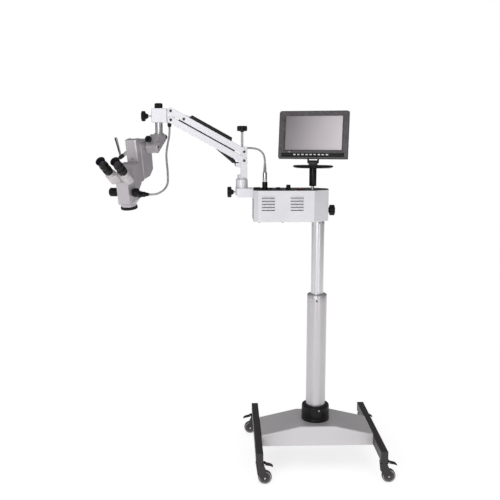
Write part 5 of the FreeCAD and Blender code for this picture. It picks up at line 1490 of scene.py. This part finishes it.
class MICROSCOPE_OT_binocular(bpy.types.Operator):
    """Makes the two prism housings, barrels, eyepieces and eyecups"""

    bl_idname = "microscope.binocular"
    bl_label = "Binocular"

    def execute(self, context):
        for side in ("left", "right"):
            self.tube(side)
        return {"FINISHED"}

    def tube(self, side):
        node = "binocular_" + side
        place = joint_frame("pupil_" + side)
        centre = end_centre(node, place)
        base = centre.z - 96 * MM
        turn = place.inverted()

        def housing(group):
            return sum((turn @ vert.co).z for vert in group) / len(group) < base
        piece(node + "_prism_housing", merged(node, housing), BODY_OF[node], finish("prism"), (node,),
              edge=edges().casting)
        axis = place @ Matrix.Translation((centre.x, centre.y, base))
        foot = [(0.0, 19.9), (0.4, 20.0), (4.4, 20.0), (5.0, 19.6), (5.4, 18.6), (13.4, 18.6),
                (14.0, 18.2), (14.2, 17.0)]
        bm = lathe(bmesh.new(), axis, in_mm(foot), 96)
        piece("barrel_foot_" + side, bm, BODY_OF[node], finish("prism"), slot="pale_casting")
        barrel = [(13.9, 16.9), (14.2, 17.6), (14.8, 18.0), (22.0, 18.0), (22.4, 18.6), (23.0, 18.8, 1),
                  (37.4, 18.8, 1), (38.0, 18.6), (38.4, 17.4), (40.0, 15.6), (41.0, 14.6), (52.0, 14.5)]
        eyepiece = [(51.6, 14.4), (52.0, 15.6), (53.0, 17.4), (55.0, 18.7), (56.0, 19.0, 1),
                    (66.0, 19.0, 1), (66.6, 18.6), (70.0, 16.8), (74.0, 15.8), (80.0, 15.8), (80.8, 15.6)]
        bm = bmesh.new()
        for profile in (barrel, eyepiece):
            lathe(bm, axis, in_mm(profile), 192, flutes(48, 0.035))
        piece("barrel_" + side, bm, BODY_OF[node], finish("anodised"), slot="black_fitting")
        cup = [(80.2, 16.2), (81.0, 17.3), (83.0, 17.5), (83.6, 17.0), (84.6, 17.0), (85.2, 17.6),
               (87.2, 17.8), (87.8, 17.3), (88.8, 17.4), (89.6, 18.2), (92.0, 18.8), (94.4, 19.6),
               (95.4, 19.9), (96.0, 19.5), (96.0, 18.7), (95.2, 18.0), (92.0, 17.0), (86.0, 16.4),
               (84.4, 16.2), (84.2, 14.4), (83.2, 14.2)]
        bm = lathe_open(bmesh.new(), axis, in_mm(cup), 96)
        piece("eyecup_" + side, bm, BODY_OF[node], finish("eyecup"), slot="black_plastic")
        rim, rise = 14.3, 2.4
        glass = [(80.6, rim), (83.4, rim)]
        glass += [(83.4 + rise * (1 - (r / rim) ** 2), r) for r in (14.0, 12.0, 9.0, 6.0, 3.0, 1.0)]
        bm = lathe(bmesh.new(), axis, in_mm(glass), 64)
        piece("eye_lens_" + side, bm, BODY_OF[node], finish("lens"), slot="black_fitting")
        line = slab(bmesh.new(), axis @ Matrix.Rotation(math.radians(-90), 4, "Z"),
                    (18.0 * MM, -0.4 * MM, 15.6 * MM), (18.15 * MM, 0.4 * MM, 21.0 * MM))
        piece("dioptre_mark_" + side, line, BODY_OF[node], finish("white"), slot="key_silver")


# Monitor.


class MICROSCOPE_OT_monitor(bpy.types.Operator):
    """Finishes the monitor, its stand and its pole"""

    bl_idname = "microscope.monitor"
    bl_label = "Monitor"

    def execute(self, context):
        place = monitor_frame()
        turn = place.inverted()
        lip = box_in("monitor_keys", place)[1].z + 3 * MM
        bm = marked(merged("monitor_bezel"), lambda spot: (turn @ spot).z < lip)
        piece("monitor_bezel_finished", bm, "monitor", finish("bezel"), ("monitor_bezel",),
              edge=edges().small, second=finish("gloss"))
        refined("monitor_case", finish("case"), edges().casting)
        painted("monitor_screen", finish("screen"))
        refined("monitor_keys", finish("keys"), 0.2 * MM)
        refined("monitor_stand", finish("gloss"), edges().small)
        self.pole()
        self.back()
        self.small_marks()
        return {"FINISHED"}

    def pole(self):
        """Gloss pole with a steel stub and foot."""
        low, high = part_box("monitor_pole")
        centre = Vector(((low.x + high.x) / 2, (low.y + high.y) / 2, low.z))
        place = Matrix.Translation(centre)
        top = (high.z - low.z) / MM
        black = [(12.0, 8.0), (12.0, 15.0), (12.6, 15.8), (13.6, 16.0), (top - 0.6, 16.0), (top, 15.6),
                 (top, 8.1), (top - 30, 8.1), (40, 8.0)]
        bm = lathe_open(bmesh.new(), place, in_mm(black), 96)
        piece("pole_black", bm, "console", finish("gloss"), ("monitor_pole",))
        steel = [(0, 15.0), (2.2, 15.0), (3.0, 14.4), (3.2, 7.0), (3.6, 6.0), (16.0, 6.0)]
        bm = lathe(bmesh.new(), place, in_mm(steel), 64)
        piece("pole_stub", bm, "console", finish("steel"), slot="bright_steel")

    def back(self):
        """Cooling slots, drawn as near-black slabs of painted shade, and screws on the back of the case."""
        place = monitor_frame()
        turn = place.to_3x3()
        low, high = box_in("monitor_case", place)
        half, pitch, height, proud = 1.5 * MM, 9.0 * MM, 20 * MM, 0.15 * MM
        # Each cooling slot is a near-black slab: painted shade where the opening is.
        bm = bmesh.new()
        for drop in (46.0 * MM, 72.0 * MM):
            for i in range(18):
                x, z = (i - 8.5) * pitch, high.z - drop
                slab(bm, place, (x - half, high.y - 1 * MM, z), (x + half, high.y + proud, z + height))
        piece("case_vents", bm, "monitor", finish("dark"), slot="case_plastic")
        middle = (low.z + high.z) / 2 - 12 * MM
        reach = 37.5 * MM
        seats = [(place @ Vector((x, high.y, middle + z)), turn @ Y_AXIS)
                 for x in (-reach, reach) for z in (-reach, reach)]
        fittings("case_screws", cross_screw(7.0 * MM, 1.2 * MM), seats, "monitor", finish("blued"))

    def small_marks(self):
        """Plain faint dashes over the keys, and a small round lamp at the left."""
        place = monitor_frame()
        low, high = box_in("monitor_keys", place)
        front, half, proud = -22.5 * MM, 1.8 * MM, 0.08 * MM
        z = high.z + 9.5 * MM
        pitch = (high.x - low.x - 10 * MM) / 8
        bm = bmesh.new()
        for i in range(9):
            x = low.x + 5 * MM + pitch * i
            slab(bm, place, (x - half, front - proud, z), (x + half, front + 0.2 * MM, z + 0.9 * MM))
        piece("key_marks", bm, "monitor", finish("mark"), slot="key_silver")
        lamp = place @ Vector((low.x - 20 * MM, front + 0.3 * MM, z))
        bm = lathe(bmesh.new(), axis_frame(lamp, place.to_3x3() @ -Y_AXIS),
                   in_mm([(0, 2.2), (0.8, 2.2), (1.2, 1.4)]), 32)
        piece("monitor_lamp", bm, "monitor", finish("keys"), slot="key_silver")


# Stage.

# Soft lights, as name, place, target, width and height. The stage settings give their power.
LIGHTS = (
    ("key", (-1.4, -4.3, 1.8), (0, 0, 0.9), 2.4, 2.4),
    ("strip", (1.2, -2.6, 1.1), (0.2, 0, 1.0), 0.4, 2.4),
    ("rim", (-2.6, -0.6, 1.2), (0, 0, 1.0), 0.3, 2.2))
# The floor's own glow rises from its near value to white between these distances in metres.
FLOOR_FADE = (0.35, 1.9)
FLOOR_GLOW = 0.66


class MICROSCOPE_OT_stage(bpy.types.Operator):
    """Makes the floor, the soft lights and the camera"""

    bl_idname = "microscope.stage"
    bl_label = "Stage"

    def execute(self, context):
        size = stage()
        bm = bmesh.new()
        half = size.floor_size / 2
        corners = ((-half, -half, 0), (half, -half, 0), (half, half, 0), (-half, half, 0))
        bm.faces.new([bm.verts.new(corner) for corner in corners])
        mesh = bpy.data.meshes.new("floor")
        bm.to_mesh(mesh)
        bm.free()
        new_object("floor", mesh, self.floor_finish())
        self.camera(size)
        for name, place, target, width, height in LIGHTS:
            self.light(name, place, target, getattr(size, name + "_power"), width, height)
        self.world(size)
        return {"FINISHED"}

    def floor_finish(self):
        """Pale floor that glows to white away from the stand, as a studio sweep does."""
        made = new_material("floor_pale", (0.9, 0.9, 0.9), 0.8)
        place = add_node(made, "ShaderNodeTexCoord").outputs["Object"]
        middle = add_node(made, "ShaderNodeVectorMath", Vector=place)
        middle.operation = "LENGTH"
        far = spread(made, middle.outputs["Value"], 0.0, 1.0, *FLOOR_FADE)
        shader_link(made, two_colours(made, far, (0.85, 0.85, 0.86), (0.0, 0.0, 0.0)), "Base Color")
        made.node_tree.nodes["Principled BSDF"].inputs["Emission Color"].default_value = (1, 1, 1, 1)
        shader_link(made, spread(made, far, FLOOR_GLOW, 1.0, 0.0, 1.0), "Emission Strength")
        return made

    def camera(self, size):
        data = bpy.data.cameras.new("camera")
        data.lens = size.lens
        data.sensor_width = 36.0
        made = bpy.data.objects.new("camera", data)
        made.location = size.camera
        made.rotation_euler = (math.pi / 2 - size.pitch, 0, -size.turn)
        bpy.context.scene.collection.objects.link(made)
        bpy.context.scene.camera = made

    def light(self, name, place, target, power, width, height):
        data = bpy.data.lights.new(name, "AREA")
        data.energy = power
        data.shape = "RECTANGLE"
        data.size = width
        data.size_y = height
        made = bpy.data.objects.new(name, data)
        made.location = place
        way = Vector(target) - Vector(place)
        made.rotation_mode = "QUATERNION"
        made.rotation_quaternion = way.to_track_quat("-Z", "Y")
        bpy.context.scene.collection.objects.link(made)

    def world(self, size):
        """White behind the camera's view, and softer light on the part, least from above."""
        world = bpy.data.worlds.new("studio")
        bpy.context.scene.world = world
        world.use_nodes = True
        back = world.node_tree.nodes["Background"]
        back.inputs["Color"].default_value = (1, 1, 1, 1)
        way = add_node(world, "ShaderNodeTexCoord").outputs["Generated"]
        height = add_node(world, "ShaderNodeSeparateXYZ", Vector=way).outputs[2]
        room = spread(world, height, size.horizon, size.zenith, 0.0, 0.8)
        seen = add_node(world, "ShaderNodeLightPath").outputs["Is Camera Ray"]
        strength = add_node(world, "ShaderNodeMix", Factor=seen)
        world.node_tree.links.new(room, strength.inputs["A"])
        strength.inputs["B"].default_value = 1.0
        world.node_tree.links.new(strength.outputs["Result"], back.inputs["Strength"])
        bpy.context.scene.view_settings.view_transform = "Standard"


class MICROSCOPE_PT_panel(bpy.types.Panel):
    """Lists the microscope's operators"""

    bl_idname = "MICROSCOPE_PT_panel"
    bl_label = "Microscope"
    bl_space_type = "VIEW_3D"
    bl_region_type = "UI"
    bl_category = "Microscope"

    def draw(self, context):
        for group in ("microscope_paints", "microscope_edges", "microscope_guides", "microscope_stage"):
            settings = getattr(context.scene, group)
            box = self.layout.box()
            for name in settings.__annotations__:
                box.prop(settings, name)
        for operator in OPERATORS:
            self.layout.operator(operator.bl_idname)


SETTINGS = {"microscope_paints": PaintSettings, "microscope_edges": EdgeSettings,
            "microscope_guides": GuideSettings, "microscope_stage": StageSettings}
OPERATORS = (MICROSCOPE_OT_stage, MICROSCOPE_OT_light_guides, MICROSCOPE_OT_floor_stand,
             MICROSCOPE_OT_column, MICROSCOPE_OT_console, MICROSCOPE_OT_arm, MICROSCOPE_OT_head,
             MICROSCOPE_OT_binocular, MICROSCOPE_OT_monitor, MICROSCOPE_OT_knobs)
CLASSES = (*SETTINGS.values(), *OPERATORS, MICROSCOPE_PT_panel)


def register():
    for item in CLASSES:
        bpy.utils.register_class(item)
    for name, group in SETTINGS.items():
        setattr(bpy.types.Scene, name, bpy.props.PointerProperty(type=group))


def unregister():
    for name in SETTINGS:
        delattr(bpy.types.Scene, name)
    for item in reversed(CLASSES):
        bpy.utils.unregister_class(item)


def main():
    register()
    for operator in OPERATORS:
        group, name = operator.bl_idname.split(".")
        getattr(getattr(bpy.ops, group), name)()


if __name__ == "__main__":
    main()
